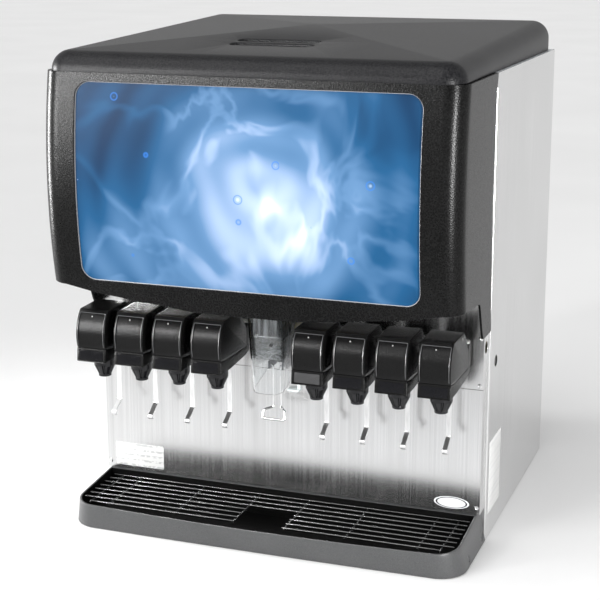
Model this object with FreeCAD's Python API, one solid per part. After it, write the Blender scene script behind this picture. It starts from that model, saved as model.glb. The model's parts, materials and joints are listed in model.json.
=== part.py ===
import FreeCAD, Part
import math
import os

from FreeCAD import Vector

# A counter-top ice and beverage dispenser: a stainless cabinet with an insulated ice bin, eight
# post-mix valves in two banks of four, an ice chute between them, a lit sign above and a drip tray.
# Millimetres. +X is the viewer's right, +Y points to the rear, +Z is up.
# The origin is the centre of the outline on the counter.

# ---- driving dimensions ----
WIDTH = 762.0
DEPTH = 781.0
SEAM_Z = 862.0                      # top of the cabinet, where the lid sits
LIFT_GAP = 0.3                      # between a loose piece and what it rests on

CABINET_HALF = 380.4
CABINET_FRONT = -140.5
SCREW_HEAD = 1.5
CABINET_REAR = DEPTH / 2 - SCREW_HEAD
SHEET = 1.2
FRONT_FLANGE = 14.0

PANEL_FACE = CABINET_FRONT - 31.8   # splash panel and valve panel stand proud of the cabinet
PANEL_HALF = 376.0
PANEL_SHEET = 1.5
SPLASH_BOTTOM = 62.4
PANEL_SPLIT_Z = 300.0
PANEL_TOP_Z = 505.0                 # hidden top edge, above the chin of the bezel
PANEL_EAR_Z = 401.5                 # visible height of the valve panel's folded ends
SIDE_HOLE_R = 11.0

BEZEL_HALF = 380.0
BEZEL_WALL = 4.0
BEZEL_CORNER = 35.0
BOW_RADIUS = 1000.0                 # the sign face bows forward between lid and chin
BOW_Z = 675.0
BOW_CENTRE_Y = -DEPTH / 2 + BOW_RADIUS
BEZEL_LEG_Z = 402.0
BEZEL_REAR = CABINET_FRONT - 0.3
WINDOW_HALF = 312.0
WINDOW_Z = (494.0, 847.0)
WINDOW_CORNER = 27.0

VALVE_COUNT = 8
VALVE_PITCH = 76.3
BANK_GAP = 115.4                    # centre gap between the two banks, one pitch cell edge to the next
VALVE_WIDTH = 58.0
VALVE_FACE = -323.5
VALVE_BOTTOM = 325.0
VALVE_SEAM_Z = 351.0
VALVE_TOP = 422.5
COVER_WALL = 2.2
NOZZLE_Y = -272.0
NOZZLE_Z = (285.0, 289.0, 306.0)
NOZZLE_R = (12.0, 20.0)
LEVER_Y = -215.5
LEVER_PIVOT_Z = 336.0
LEVER_WIDTH = 9.0
LEVER_THICK = 1.8
PIN_R = 1.5
PIN_CLEARANCE = 0.06

TRAY_HALF = WIDTH / 2
TRAY_RIM_HALF = 371.0
TRAY_FRONT = -332.0
TRAY_RIM_FRONT = -337.0
TRAY_REAR = CABINET_FRONT - 0.8
TRAY_WALL = 4.0
TRAY_FLOOR_Z = 8.0
TRAY_RIM_Z = (48.0, 61.5)           # rim height at the front and at the rear

CUP_REST_Z = 49.0
CUP_WIRE_R = 1.5
CUP_WIRE_PITCH = 20.0
CUP_REST_REAR = CABINET_FRONT - 38.0

BIN_HALF = 338.0
BIN_Y = (-102.0, 350.0)
BIN_FLOOR_Z = 396.0
BIN_WALL = 4.0
FOAM_HALF = 372.0
FOAM_FRONT = -136.0
FOAM_REAR = 384.0
FOAM_BOTTOM = 328.0
RIM_TOP = SEAM_Z - 0.3

PLATE_HALF = 300.0
PLATE_Y = (-84.0, 320.0)
PLATE_Z = (350.0, 388.0)
TUBE_Z = 366.0
TUBE_R = 4.0

OUTLET_HALF = 26.0
OUTLET_Z = (440.0, 480.0)
AGITATOR_Z = 620.0
SHAFT_R = 8.0
SHAFT_CLEARANCE = 0.05
ARM_REACH = 185.0

INLET_X = [-112.5 + 25.0 * i for i in range(10)]
INLET_Z = 55.0
INLET_R = 4.8
INLET_END = 380.0
DRAIN_X = -200.0
DRAIN_Z = 18.0
DRAIN_R = 9.5
DRAIN_STUB_R = 8.0
LEG_SPACING = (640.0, 440.0)
LEG_CENTRE_Y = 124.0
LEG_HOLE_R = 4.0


def box(x, y, z):
    return Part.makeBox(x[1] - x[0], y[1] - y[0], z[1] - z[0], Vector(x[0], y[0], z[0]))


def rod(start, end, radius):
    start, end = Vector(*start), Vector(*end)
    return Part.makeCylinder(radius, (end - start).Length, start, end - start)


def rounded(solid, axis, radius):
    """Rounds the edges of a box that run along one axis."""
    along = [e for e in solid.Edges if abs(e.tangentAt(e.FirstParameter).dot(axis)) > 0.999]
    return solid.makeFillet(radius, along)


def fused(shapes):
    return shapes[0].multiFuse(shapes[1:]).removeSplitter()


def slab(points, start, length):
    """Extrudes a closed outline, given as 3-D points, by a vector."""
    outline = Part.makePolygon([Vector(*p) for p in points + points[:1]])
    return Part.Face(outline).extrude(Vector(*length)).translated(Vector(*start))


def side_slab(yz, x0, x1):
    """Extrudes a side-view outline, given as (y, z) points, across the machine."""
    return slab([(0, y, z) for y, z in yz], (x0, 0, 0), (x1 - x0, 0, 0))


def front_slab(xz, y0, y1):
    """Extrudes a front-view outline, given as (x, z) points, from front to rear."""
    return slab([(x, 0, z) for x, z in xz], (0, y0, 0), (0, y1 - y0, 0))


def face_from(edges):
    return Part.Face(Part.Wire(edges))


def line(a, b):
    return Part.LineSegment(Vector(*a), Vector(*b)).toShape()


def arc(a, b, c):
    return Part.Arc(Vector(*a), Vector(*b), Vector(*c)).toShape()


def bent_wire(points, radius):
    """A round wire along a polyline, with ball joints at its bends."""
    spans = [rod(a, b, radius) for a, b in zip(points, points[1:])]
    joints = [Part.makeSphere(radius, Vector(*p)) for p in points[1:-1]]
    return fused(spans + joints)


def group(shapes):
    return Part.makeCompound(shapes)


def save(name, shape):
    assert shape.isValid(), name
    shape.exportStep(os.path.join("parts", name + ".step"))


def mirrored_pair(shape):
    return [shape, shape.mirror(Vector(0, 0, 0), Vector(1, 0, 0))]


# ---- cabinet ----
def base_pan():
    half, front, rear = CABINET_HALF - SHEET, CABINET_FRONT + SHEET, CABINET_REAR - SHEET
    pan = box((-half, half), (front, rear), (0, 30)).cut(
        box((-half + 1.5, half - 1.5), (front + 1.5, rear - 1.5), (1.5, 31)))
    for sx in (-1, 1):
        for sy in (-1, 1):
            foot = (sx * LEG_SPACING[0] / 2, LEG_CENTRE_Y + sy * LEG_SPACING[1] / 2)
            pan = pan.fuse(rod((*foot, 0), (*foot, 12), 9.0))
            pan = pan.cut(rod((*foot, -1), (*foot, 13), LEG_HOLE_R))
    front_notch = rod((DRAIN_X, front - 1, DRAIN_Z), (DRAIN_X, front + 3, DRAIN_Z), DRAIN_R + 1)
    rear_notch = box((-165, 165), (rear - 3, rear + 1), (12, 31))
    drain_notch = box((DRAIN_X - 14, DRAIN_X + 14), (rear - 3, rear + 1), (4, 31))
    return pan.cut(front_notch).cut(rear_notch).cut(drain_notch)


def wrapper():
    """Sides and back in one sheet; its front edges turn in, with lugs that carry the bezel."""
    outer = rounded(box((-CABINET_HALF, CABINET_HALF), (CABINET_FRONT, CABINET_REAR + 50), (0, SEAM_Z)),
                    Vector(0, 0, 1), 3.0)
    outer = outer.common(box((-400, 400), (-200, CABINET_REAR), (0, SEAM_Z)))
    half, front, rear = CABINET_HALF - SHEET, CABINET_FRONT + SHEET, CABINET_REAR - SHEET
    sheet = outer.cut(box((-half, half), (front, rear), (-1, SEAM_Z + 1)))
    inner = CABINET_HALF - FRONT_FLANGE
    sheet = sheet.cut(box((-inner, inner), (CABINET_FRONT - 1, front + 1), (-1, SEAM_Z + 1)))
    lug_half = BEZEL_HALF - BEZEL_WALL - 0.3
    lug = box((lug_half - SHEET, lug_half), (CABINET_FRONT - 24, front), (BEZEL_LEG_Z + 1, SEAM_Z - 5))
    sheet = fused([sheet] + mirrored_pair(lug))
    hole = rod((CABINET_HALF - 5, CABINET_FRONT + 47.6, 333.8), (CABINET_HALF + 5, CABINET_FRONT + 47.6, 333.8),
               SIDE_HOLE_R)
    opening = rounded(box((-155, 155), (rear - 5, rear + 5), (25, 85)), Vector(0, 1, 0), 12.0)
    drain = rod((DRAIN_X, rear - 5, DRAIN_Z), (DRAIN_X, rear + 5, DRAIN_Z), 14.0)
    inlet = box((216, 266), (rear - 5, rear + 5), (46, 74))
    label = side_label().cut(box((0, CABINET_HALF - 0.4), (-400, 400), (0, 900)))
    return sheet.cut(hole).cut(opening).cut(drain).cut(inlet).cut(label).cut(panel_screws())


def side_label():
    front = CABINET_FRONT + 15
    return box((CABINET_HALF - 0.4, CABINET_HALF), (front, front + 97), (46, 186))


def folded_panel(z0, z1, ear_top):
    """A front sheet whose two ends fold back to the cabinet."""
    sheet = box((-PANEL_HALF, PANEL_HALF), (PANEL_FACE, PANEL_FACE + PANEL_SHEET), (z0, z1))
    end = box((PANEL_HALF - PANEL_SHEET, PANEL_HALF), (PANEL_FACE, CABINET_FRONT - 0.1), (z0, ear_top))
    return fused([sheet] + mirrored_pair(end))


def splash_panel():
    return folded_panel(SPLASH_BOTTOM, PANEL_SPLIT_Z - 0.3, PANEL_SPLIT_Z - 0.3).cut(panel_screws())


def valve_panel():
    panel = folded_panel(PANEL_SPLIT_Z, PANEL_TOP_Z, PANEL_EAR_Z)
    hole_y = (PANEL_FACE + CABINET_FRONT) / 2
    panel = panel.cut(rod((-400, hole_y, 376), (400, hole_y, 376), SIDE_HOLE_R))
    panel = panel.cut(box((-36, 36), (PANEL_FACE - 1, PANEL_FACE + 3), (352, PANEL_TOP_Z + 1)))
    for x in valve_centres():
        for dx in (-12, 12):
            panel = panel.cut(rod((x + dx, PANEL_FACE - 1, TUBE_Z), (x + dx, PANEL_FACE + 3, TUBE_Z),
                                  TUBE_R + 0.2))
    return panel.cut(panel_screws())


def bow_y(z, inset=0.0):
    """Front of the sign face at a height, or of a surface set back from it."""
    return BOW_CENTRE_Y - math.sqrt((BOW_RADIUS - inset) ** 2 - (z - BOW_Z) ** 2)


def bowed_block(inset, rear, z0, z1, half):
    """A block whose front follows the sign face's bow."""
    front = arc((-half, bow_y(z0, inset), z0), (-half, bow_y((z0 + z1) / 2, inset), (z0 + z1) / 2),
                (-half, bow_y(z1, inset), z1))
    edges = [front, line((-half, bow_y(z1, inset), z1), (-half, rear, z1)),
             line((-half, rear, z1), (-half, rear, z0)), line((-half, rear, z0), (-half, bow_y(z0, inset), z0))]
    return face_from(edges).extrude(Vector(2 * half, 0, 0))


def corner_rounded(block, half, radius):
    """Rounds the two upright front corners of a bowed block."""
    front = [e for e in block.Edges
             if abs(abs(e.CenterOfMass.x) - half) < 0.01 and e.Curve.TypeId == "Part::GeomCircle"]
    return block.makeFillet(radius, front)


def bezel():
    low = BEZEL_LEG_Z
    outer = corner_rounded(bowed_block(0, BEZEL_REAR, low, SEAM_Z, BEZEL_HALF), BEZEL_HALF, BEZEL_CORNER)
    inner_half = BEZEL_HALF - BEZEL_WALL
    inner = corner_rounded(bowed_block(BEZEL_WALL, BEZEL_REAR + 10, low - 10, SEAM_Z - BEZEL_WALL, inner_half),
                           inner_half, BEZEL_CORNER - BEZEL_WALL)
    shell = outer.cut(inner)
    window = rounded(box((-WINDOW_HALF, WINDOW_HALF), (-DEPTH / 2 - 10, -340), WINDOW_Z),
                     Vector(0, 1, 0), WINDOW_CORNER)
    right_chin = [(90, 450), (232, 464), (285, 470), (345, 482), (400, 490)]
    left_chin = [(-x, z) for x, z in reversed(right_chin)]
    chin = front_slab([(-400, 390)] + left_chin + right_chin + [(400, 390)], -400, -336)
    side_cut = side_slab([(-336.1, 390), (-336.1, 484.5), (-240, 475), (-232, 472), (-226, 464),
                          (-198, 404), (-196, 390)], -400, 400)
    top, mid, low_end = (-400, BEZEL_REAR, SEAM_Z - 12), (-400, BEZEL_REAR - 18, 635), (-400, BEZEL_REAR, low + 4)
    rear_bow = face_from([arc(low_end, mid, top), line(top, (-400, 0, SEAM_Z - 12)),
                          line((-400, 0, SEAM_Z - 12), (-400, 0, low + 4)), line((-400, 0, low + 4), low_end)])
    return shell.cut(window).cut(chin).cut(side_cut).cut(rear_bow.extrude(Vector(800, 0, 0)))


def sign_panel():
    front = bowed_block(BEZEL_WALL + 0.6, -350, 486, 857, 322)
    return front.cut(bowed_block(BEZEL_WALL + 3.6, -349, 485, 858, 323))


def light_box():
    tub = box((-335, 335), (-361, -248), (482, 856)).cut(box((-334, 334), (-362, -249), (483, 855)))
    return tub


LAMP_Z = (590.0, 750.0)
LAMP_Y = -305.0


def lamp_tubes():
    return group([rod((-300, LAMP_Y, z), (300, LAMP_Y, z), 13.0) for z in LAMP_Z])


def lampholders():
    holders = []
    for z in LAMP_Z:
        holder = box((300, 312), (-330, -249), (z - 18, z + 18))
        holders += mirrored_pair(holder)
    return group(holders)


def control_box():
    return rounded(box((150, 330), (-236, -142), (520, 640)), Vector(0, 1, 0), 4.0)


# ---- ice bin ----
def bin_liner():
    tub = box((-BIN_HALF - BIN_WALL, BIN_HALF + BIN_WALL), (BIN_Y[0] - BIN_WALL, BIN_Y[1] + BIN_WALL),
              (BIN_FLOOR_Z - BIN_WALL, RIM_TOP))
    rim = box((-FOAM_HALF - 6, FOAM_HALF + 6), (FOAM_FRONT - 3, FOAM_REAR + 2.5), (RIM_TOP - 4, RIM_TOP))
    front_boss = rod((0, BIN_Y[0] - 1, AGITATOR_Z), (0, BIN_Y[0] + 14, AGITATOR_Z), 18)
    rear_boss = rod((0, BIN_Y[1] - 16, AGITATOR_Z), (0, BIN_Y[1] + 1, AGITATOR_Z), 18)
    hollow = box((-BIN_HALF, BIN_HALF), BIN_Y, (BIN_FLOOR_Z, RIM_TOP + 1))
    hollow = rounded(hollow, Vector(0, 0, 1), 20.0)
    liner = tub.fuse(rim).cut(hollow).fuse(front_boss).fuse(rear_boss)
    bore = rod((0, BIN_Y[0] - 10, AGITATOR_Z), (0, BIN_Y[1] - 4, AGITATOR_Z), SHAFT_R + SHAFT_CLEARANCE)
    sump = rod((DRAIN_X, 300, BIN_FLOOR_Z - 10), (DRAIN_X, 300, BIN_FLOOR_Z + 5), 8.0)
    return liner.cut(bore).cut(outlet_cut()).cut(sump)


def outlet_cut():
    return box((-OUTLET_HALF, OUTLET_HALF), (FOAM_FRONT - 10, BIN_Y[0] + 10), OUTLET_Z)


def bin_insulation():
    foam = box((-FOAM_HALF, FOAM_HALF), (FOAM_FRONT, FOAM_REAR), (FOAM_BOTTOM, RIM_TOP - 4))
    foam = foam.cut(box((-BIN_HALF - BIN_WALL, BIN_HALF + BIN_WALL),
                        (BIN_Y[0] - BIN_WALL, BIN_Y[1] + BIN_WALL), (BIN_FLOOR_Z - BIN_WALL, 900)))
    foam = foam.cut(box((-PLATE_HALF, PLATE_HALF), PLATE_Y, (PLATE_Z[0], BIN_FLOOR_Z)))
    foam = foam.cut(rod((0, FOAM_FRONT - 1, AGITATOR_Z), (0, BIN_Y[0], AGITATOR_Z), SHAFT_R + 4))
    for x, z in supply_tubes():
        foam = foam.cut(rod((x, FOAM_FRONT - 1, z), (x, PLATE_Y[0] + 1, z), TUBE_R + 0.2))
    for x in INLET_X:
        foam = foam.cut(rod((x, 300, FOAM_BOTTOM - 1), (x, 300, PLATE_Z[0] + 1), TUBE_R + 0.2))
    foam = foam.cut(rod((DRAIN_X, 300, FOAM_BOTTOM - 1), (DRAIN_X, 300, BIN_FLOOR_Z), 8.2))
    return foam.cut(outlet_cut())


def cold_plate():
    plate = rounded(box((-PLATE_HALF, PLATE_HALF), PLATE_Y, PLATE_Z), Vector(0, 0, 1), 12.0)
    return plate.cut(rod((DRAIN_X, 300, PLATE_Z[0] - 1), (DRAIN_X, 300, PLATE_Z[1] + 1), 8.2))


def supply_tubes():
    return [(x + dx, TUBE_Z) for x in valve_centres() for dx in (-12, 12)]


def beverage_tubing():
    """Short tubes from the cold plate to each valve, and the inlet tubes up from the rear."""
    short = [rod((x, PANEL_FACE, z), (x, PLATE_Y[0], z), TUBE_R) for x, z in supply_tubes()]
    inlet = [bent_wire([(x, INLET_END - 34, INLET_Z), (x, 300, INLET_Z), (x, 300, PLATE_Z[0])], TUBE_R)
             for x in INLET_X]
    return group(short + inlet)


def inlet_fittings():
    """Hose stubs for carbonated water, plain water and eight syrups, in the rear opening."""
    fittings = []
    for x in INLET_X:
        fittings.append(rod((x, INLET_END - 22, INLET_Z), (x, INLET_END, INLET_Z), INLET_R))
        fittings.append(rod((x, INLET_END - 34, INLET_Z), (x, INLET_END - 22, INLET_Z), 8.0))
    return group(fittings)


def drain_lines():
    """Tray drain that runs back under the cabinet, joined by the bin drain."""
    run = rod((DRAIN_X, TRAY_REAR - 28, DRAIN_Z), (DRAIN_X, 355, DRAIN_Z), DRAIN_R)
    stub = rod((DRAIN_X, 355, DRAIN_Z), (DRAIN_X, CABINET_REAR - 0.5, DRAIN_Z), DRAIN_STUB_R)
    bore = rod((DRAIN_X, TRAY_REAR - 29, DRAIN_Z), (DRAIN_X, CABINET_REAR, DRAIN_Z), DRAIN_STUB_R - 2)
    down = rod((DRAIN_X, 300, DRAIN_Z), (DRAIN_X, 300, BIN_FLOOR_Z - BIN_WALL), 8.0)
    down_bore = rod((DRAIN_X, 300, DRAIN_Z), (DRAIN_X, 300, BIN_FLOOR_Z), 6.0)
    return run.fuse(stub).fuse(down).cut(bore).cut(down_bore)


def agitator():
    shaft = rod((0, -186, AGITATOR_Z), (0, BIN_Y[1] - 5, AGITATOR_Z), SHAFT_R)
    arms = []
    for i, y in enumerate((-50, 40, 130, 220, 300)):
        angle = math.radians(20 + 36 * i)
        reach = Vector(math.cos(angle), 0, math.sin(angle)).multiply(ARM_REACH)
        hub = Vector(0, y, AGITATOR_Z)
        arms.append(Part.makeCylinder(6.0, 2 * ARM_REACH, hub - reach, reach))
    return fused([shaft] + arms)


def agitator_gearmotor():
    gearbox = rounded(box((-50, 50), (-192, -146), (570, 680)), Vector(0, 1, 0), 10.0)
    motor = rod((0, -243, AGITATOR_Z + 18), (0, -192, AGITATOR_Z + 18), 36)
    bore = rod((0, -187, AGITATOR_Z), (0, -140, AGITATOR_Z), SHAFT_R + SHAFT_CLEARANCE)
    return gearbox.fuse(motor).cut(bore)


GATE_Y = (FOAM_FRONT - 3.0, FOAM_FRONT - 0.4)
GATE_STEM_X = (18.0, 28.0)


def ice_gate():
    plate = box((-31, 31), GATE_Y, (OUTLET_Z[0] - 4, OUTLET_Z[1] + 8))
    stem = box(GATE_STEM_X, GATE_Y, (OUTLET_Z[1] + 7, 590))
    return fused([plate, stem])


def gate_solenoid():
    coil = rounded(box((6, 40), (FOAM_FRONT - 30, FOAM_FRONT), (532, 565)), Vector(0, 0, 1), 3.0)
    slot = box((GATE_STEM_X[0] - 0.5, GATE_STEM_X[1] + 0.5), (GATE_Y[0] - 0.5, FOAM_FRONT + 1), (530, 567))
    return coil.cut(slot)


CHUTE_HALF = 28.0
CHUTE_WALL = 2.0


def ice_chute():
    rear = FOAM_FRONT - 3.5
    outer = side_slab([(rear, 492), (-200, 486), (-266, 425), (-266, 346), (-206, 346), (-206, 396),
                       (rear, 428)], -CHUTE_HALF, CHUTE_HALF)
    inner_half = CHUTE_HALF - CHUTE_WALL
    inner = side_slab([(rear + 5, 490), (-199, 484), (-264, 424), (-264, 340), (-208, 340), (-208, 397.5),
                       (rear + 5, 431)], -inner_half, inner_half)
    ear = box((CHUTE_HALF - 1, 46), (rear - 2, rear), (436, 486))
    spacer = box((34, 46), (rear - 2, FOAM_FRONT), (436, 486))
    return fused([outer] + mirrored_pair(ear) + mirrored_pair(spacer)).cut(inner)


def chute_section(half, front, z, radius):
    """U-shaped outline of the clear chute cover, open against the valve panel."""
    rear = PANEL_FACE - 0.1
    k = radius * (1 - math.sqrt(0.5))
    edges = [line((-half, rear, z), (-half, front + radius, z)),
             arc((-half, front + radius, z), (-half + k, front + k, z), (-half + radius, front, z)),
             line((-half + radius, front, z), (half - radius, front, z)),
             arc((half - radius, front, z), (half - k, front + k, z), (half, front + radius, z)),
             line((half, front + radius, z), (half, rear, z)), line((half, rear, z), (-half, rear, z))]
    return Part.Wire(edges)


def chute_cover():
    outer = Part.makeLoft([chute_section(29.5, -276.5, 272, 20), chute_section(38, -289, 434, 28)], True, True)
    inner = Part.makeLoft([chute_section(27, -274, 271, 18), chute_section(35.5, -286.5, 435, 26)], True, True)
    inner = inner.fuse(inner.translated(Vector(0, 3, 0)))
    lower_cut = side_slab([(-300, 260), (-300, 283), (-270, 286), (-160, 312), (-160, 260)], -60, 60)
    return outer.cut(inner).cut(lower_cut)


ICE_LEVER_Y = -216.5
ICE_PIVOT_Z = 322.0
ICE_WIRE_R = 2.0


def ice_lever():
    """Wire that hangs from its axle, steps out and forward, and closes in a wide loop."""
    y = ICE_LEVER_Y
    left = [(-18, y, ICE_PIVOT_Z), (-7.5, y, ICE_PIVOT_Z), (-7.5, y, 241), (-20.5, y - 15, 239),
            (-22, y - 21, 223.5)]
    right = [(-x, py, z) for x, py, z in reversed(left)]
    return bent_wire(left + right, ICE_WIRE_R)


def ice_lever_bracket():
    """Ears that carry the ice lever's axle, with the microswitch behind."""
    ear = box((13, 16), (ICE_LEVER_Y - 6, PANEL_FACE - 0.1), (ICE_PIVOT_Z - 7, ICE_PIVOT_Z + 8))
    bridge = box((-16, 16), (PANEL_FACE - 2.1, PANEL_FACE - 0.1), (ICE_PIVOT_Z - 7, ICE_PIVOT_Z + 22))
    switch = box((-11, 11), (PANEL_FACE - 14, PANEL_FACE - 2), (ICE_PIVOT_Z + 4, ICE_PIVOT_Z + 20))
    bracket = fused(mirrored_pair(ear) + [bridge, switch])
    bore = rod((-20, ICE_LEVER_Y, ICE_PIVOT_Z), (20, ICE_LEVER_Y, ICE_PIVOT_Z), ICE_WIRE_R + PIN_CLEARANCE)
    return bracket.cut(bore)


# ---- valves ----
def valve_centres():
    first = BANK_GAP / 2 + VALVE_PITCH / 2
    right = [first + VALVE_PITCH * i for i in range(VALVE_COUNT // 2)]
    return [-x for x in reversed(right)] + right


def valve_body(x):
    """Lower half of a valve: name band at the front, block for the mounting at the rear."""
    seam = VALVE_SEAM_Z - 0.3
    outline = [(VALVE_FACE - 3, VALVE_BOTTOM), (VALVE_FACE - 0.2, seam), (-295.5, seam - 4.5), (-198.2, seam - 4.3),
               (-198.2, 388), (-186, 388), (-186, 338), (-203, 331), (-280, VALVE_BOTTOM)]
    half = VALVE_WIDTH / 2
    body = side_slab(outline, x - half, x + half)
    slot_half = LEVER_WIDTH / 2 + 0.8
    body = body.cut(box((x - slot_half, x + slot_half), (LEVER_Y - 12, LEVER_Y + 12), (310, LEVER_PIVOT_Z + 6)))
    return body.cut(lever_pin(x)).cut(tab_slot())


def cover_profile(x, inset):
    """Side view of a valve cover: bulged front, level top, chamfered rear."""
    seam, top = VALVE_SEAM_Z, VALVE_TOP - inset
    front, rear = VALVE_FACE + inset, -198.5 - inset
    low = seam - 4 - (0 if inset == 0 else 5)
    brow = (x, -307.5 + inset, top - 1.9)
    foot = (x, front, seam if inset == 0 else low)
    nape, step = (x, -237.5, top), (x, -224 - inset / 2, top - 8.5)
    shoulder = (x, rear, 379.0 - inset / 2)
    edges = [arc(foot, (x, front - 3.4, 380.0), brow), line(brow, nape), line(nape, step), line(step, shoulder),
             line(shoulder, (x, rear, low))]
    if inset:
        return edges + [line((x, rear, low), foot)]
    return edges + [line((x, rear, low), (x, -295.5, low)), line((x, -295.5, low), foot)]


def valve_cover(x):
    half = VALVE_WIDTH / 2
    outer = face_from(cover_profile(x - half, 0)).extrude(Vector(VALVE_WIDTH, 0, 0))
    inner_width = VALVE_WIDTH - 2 * COVER_WALL
    inner = face_from(cover_profile(x - half + COVER_WALL, COVER_WALL)).extrude(Vector(inner_width, 0, 0))
    return outer.cut(inner)


def lever_pin(x):
    return rod((x - 15, LEVER_Y, LEVER_PIVOT_Z), (x + 15, LEVER_Y, LEVER_PIVOT_Z), PIN_R)


def cup_lever(x):
    """Flat steel strip that hangs behind the nozzle and kicks forward at its foot."""
    t = LEVER_THICK
    strip = [(LEVER_Y, 334), (LEVER_Y, 220), (LEVER_Y - 27, 203.5), (LEVER_Y - 20, 195)]
    strip += [(LEVER_Y - 18.4, 196.2), (LEVER_Y - 24.4, 203.6), (LEVER_Y + t, 219), (LEVER_Y + t, 334)]
    half = LEVER_WIDTH / 2
    blade = side_slab(strip, x - half, x + half)
    eye = rod((x - half, LEVER_Y, LEVER_PIVOT_Z), (x + half, LEVER_Y, LEVER_PIVOT_Z), 4.5)
    bore = rod((x - half - 1, LEVER_Y, LEVER_PIVOT_Z), (x + half + 1, LEVER_Y, LEVER_PIVOT_Z),
               PIN_R + PIN_CLEARANCE)
    return blade.fuse(eye).removeSplitter().cut(bore)


def valve_nozzle(x):
    """Collar under the valve, funnel, and a plain ring at the tip with a shallow recess."""
    (tip, neck, shoulder), (r_tip, r_collar) = NOZZLE_Z, NOZZLE_R
    collar = rod((x, NOZZLE_Y, shoulder), (x, NOZZLE_Y, VALVE_BOTTOM), r_collar)
    funnel = Part.makeCone(r_tip, r_collar, shoulder - neck, Vector(x, NOZZLE_Y, neck))
    ring = rod((x, NOZZLE_Y, tip), (x, NOZZLE_Y, neck), r_tip)
    return fused([collar, funnel, ring]).cut(rod((x, NOZZLE_Y, tip - 1), (x, NOZZLE_Y, tip + 3), 8.5))


def mounting_block(x):
    block = box((x - 22, x + 22), (-186, PANEL_FACE), (341, 387))
    for dx in (-12, 12):
        block = block.cut(rod((x + dx, -187, TUBE_Z), (x + dx, PANEL_FACE + 1, TUBE_Z), TUBE_R))
    return block


def valve_coils(x):
    return [rod((x + dx, -262, 348), (x + dx, -262, 392), 11.5) for dx in (-13, 13)]


TAB_X = 62.0
TAB_Y = VALVE_FACE + 24
TAB_Z = 306.0
TAB_TRAVEL = 4.0
TAB_STEM_X = (TAB_X + 9, TAB_X + 14)


def water_tab():
    """Push tab for plain water, at the lower left of the first valve of the right bank."""
    paddle = rounded(box((TAB_X - 8, TAB_X + 14), (TAB_Y - 12, TAB_Y + 12), (TAB_Z, TAB_Z + 3.5)),
                     Vector(0, 0, 1), 3.0)
    stem = box(TAB_STEM_X, (TAB_Y - 5, TAB_Y + 5), (TAB_Z + 3, VALVE_BOTTOM + 6))
    return fused([paddle, stem])


def tab_slot():
    return box((TAB_STEM_X[0] - 0.5, TAB_STEM_X[1] + 0.5), (TAB_Y - 5.5, TAB_Y + 5.5 + TAB_TRAVEL),
               (VALVE_BOTTOM - 5, VALVE_BOTTOM + 7))


# ---- lid ----
LID_BOTTOM = SEAM_Z + LIFT_GAP
LID_HALF = 374.0
LID_Y = (-373.0, 387.0)
LID_ROUND = 34.0
LID_WALL = 4.0
LID_RIM_Z = (897.0, 921.0)          # rim height at the front and at the rear
LID_APEX = (-14.5, 928.5)           # y and z of the peak where the four facets meet
SLOT_Y = (-238.5, -200.5)
SLOT_HALF = 77.5
SLOT_R = 13.0


def lid_form(inset, bottom):
    """Four shallow facets over a rounded rim; the rim climbs from front to rear."""
    r = LID_ROUND - inset
    k = r * (1 - math.sqrt(0.5))
    x, y0, y1 = -400, LID_Y[0] + inset, LID_Y[1] - inset
    z0, z1, ya, za = LID_RIM_Z[0] - inset, LID_RIM_Z[1] - inset, LID_APEX[0], LID_APEX[1] - inset
    side_view = face_from([
        line((x, y0, bottom), (x, y0, z0 - r)), arc((x, y0, z0 - r), (x, y0 + k, z0 - k), (x, y0 + r, z0)),
        line((x, y0 + r, z0), (x, ya, za)), line((x, ya, za), (x, y1 - r, z1)),
        arc((x, y1 - r, z1), (x, y1 - k, z1 - k), (x, y1, z1 - r)), line((x, y1, z1 - r), (x, y1, bottom)),
        line((x, y1, bottom), (x, y0, bottom))]).extrude(Vector(800, 0, 0))
    climb = (z1 - z0) / (y1 - y0 - 2 * r)
    rim = z0 - climb * r
    crown = rim + za - (z0 + climb * (ya - y0 - r))
    h, y, drop = LID_HALF - inset, y0, 60
    front_view = face_from([
        line((-h, y, rim - drop), (-h, y, rim - r)), arc((-h, y, rim - r), (k - h, y, rim - k), (r - h, y, rim)),
        line((r - h, y, rim), (0, y, crown)), line((0, y, crown), (h - r, y, rim)),
        arc((h - r, y, rim), (h - k, y, rim - k), (h, y, rim - r)), line((h, y, rim - r), (h, y, rim - drop)),
        line((h, y, rim - drop), (-h, y, rim - drop))]).extrude(Vector(0, y1 - y0, climb * (y1 - y0)))
    plan = rounded(box((-h, h), (y0, y1), (bottom, 960)), Vector(0, 0, 1), 40.0 - inset)
    return side_view.common(front_view).common(plan)


def slot_cut(y):
    slot = box((-SLOT_HALF, SLOT_HALF), (y - SLOT_R, y + SLOT_R), (885, 940))
    return rounded(slot, Vector(0, 0, 1), SLOT_R - 0.1)


def lid():
    outer = lid_form(0, LID_BOTTOM)
    grip = box((-94, 94), (SLOT_Y[0] - SLOT_R - 6, SLOT_Y[1] + SLOT_R + 6), (879, 940))
    ring = box((-BIN_HALF + 6, BIN_HALF - 6), (BIN_Y[0] + 6, BIN_Y[1] - 6), (864, 940))
    ring = ring.cut(box((-BIN_HALF + 10, BIN_HALF - 10), (BIN_Y[0] + 10, BIN_Y[1] - 10), (840, 945)))
    lip = ring.translated(Vector(0, 0, -16)).common(box((-400, 400), (-400, 400), (848, 870)))
    inside = grip.fuse(ring).common(outer)
    shell = outer.cut(lid_form(LID_WALL, LID_BOTTOM - 1))
    return shell.fuse(inside).fuse(lip).removeSplitter().cut(slot_cut(SLOT_Y[0])).cut(slot_cut(SLOT_Y[1]))


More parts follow.
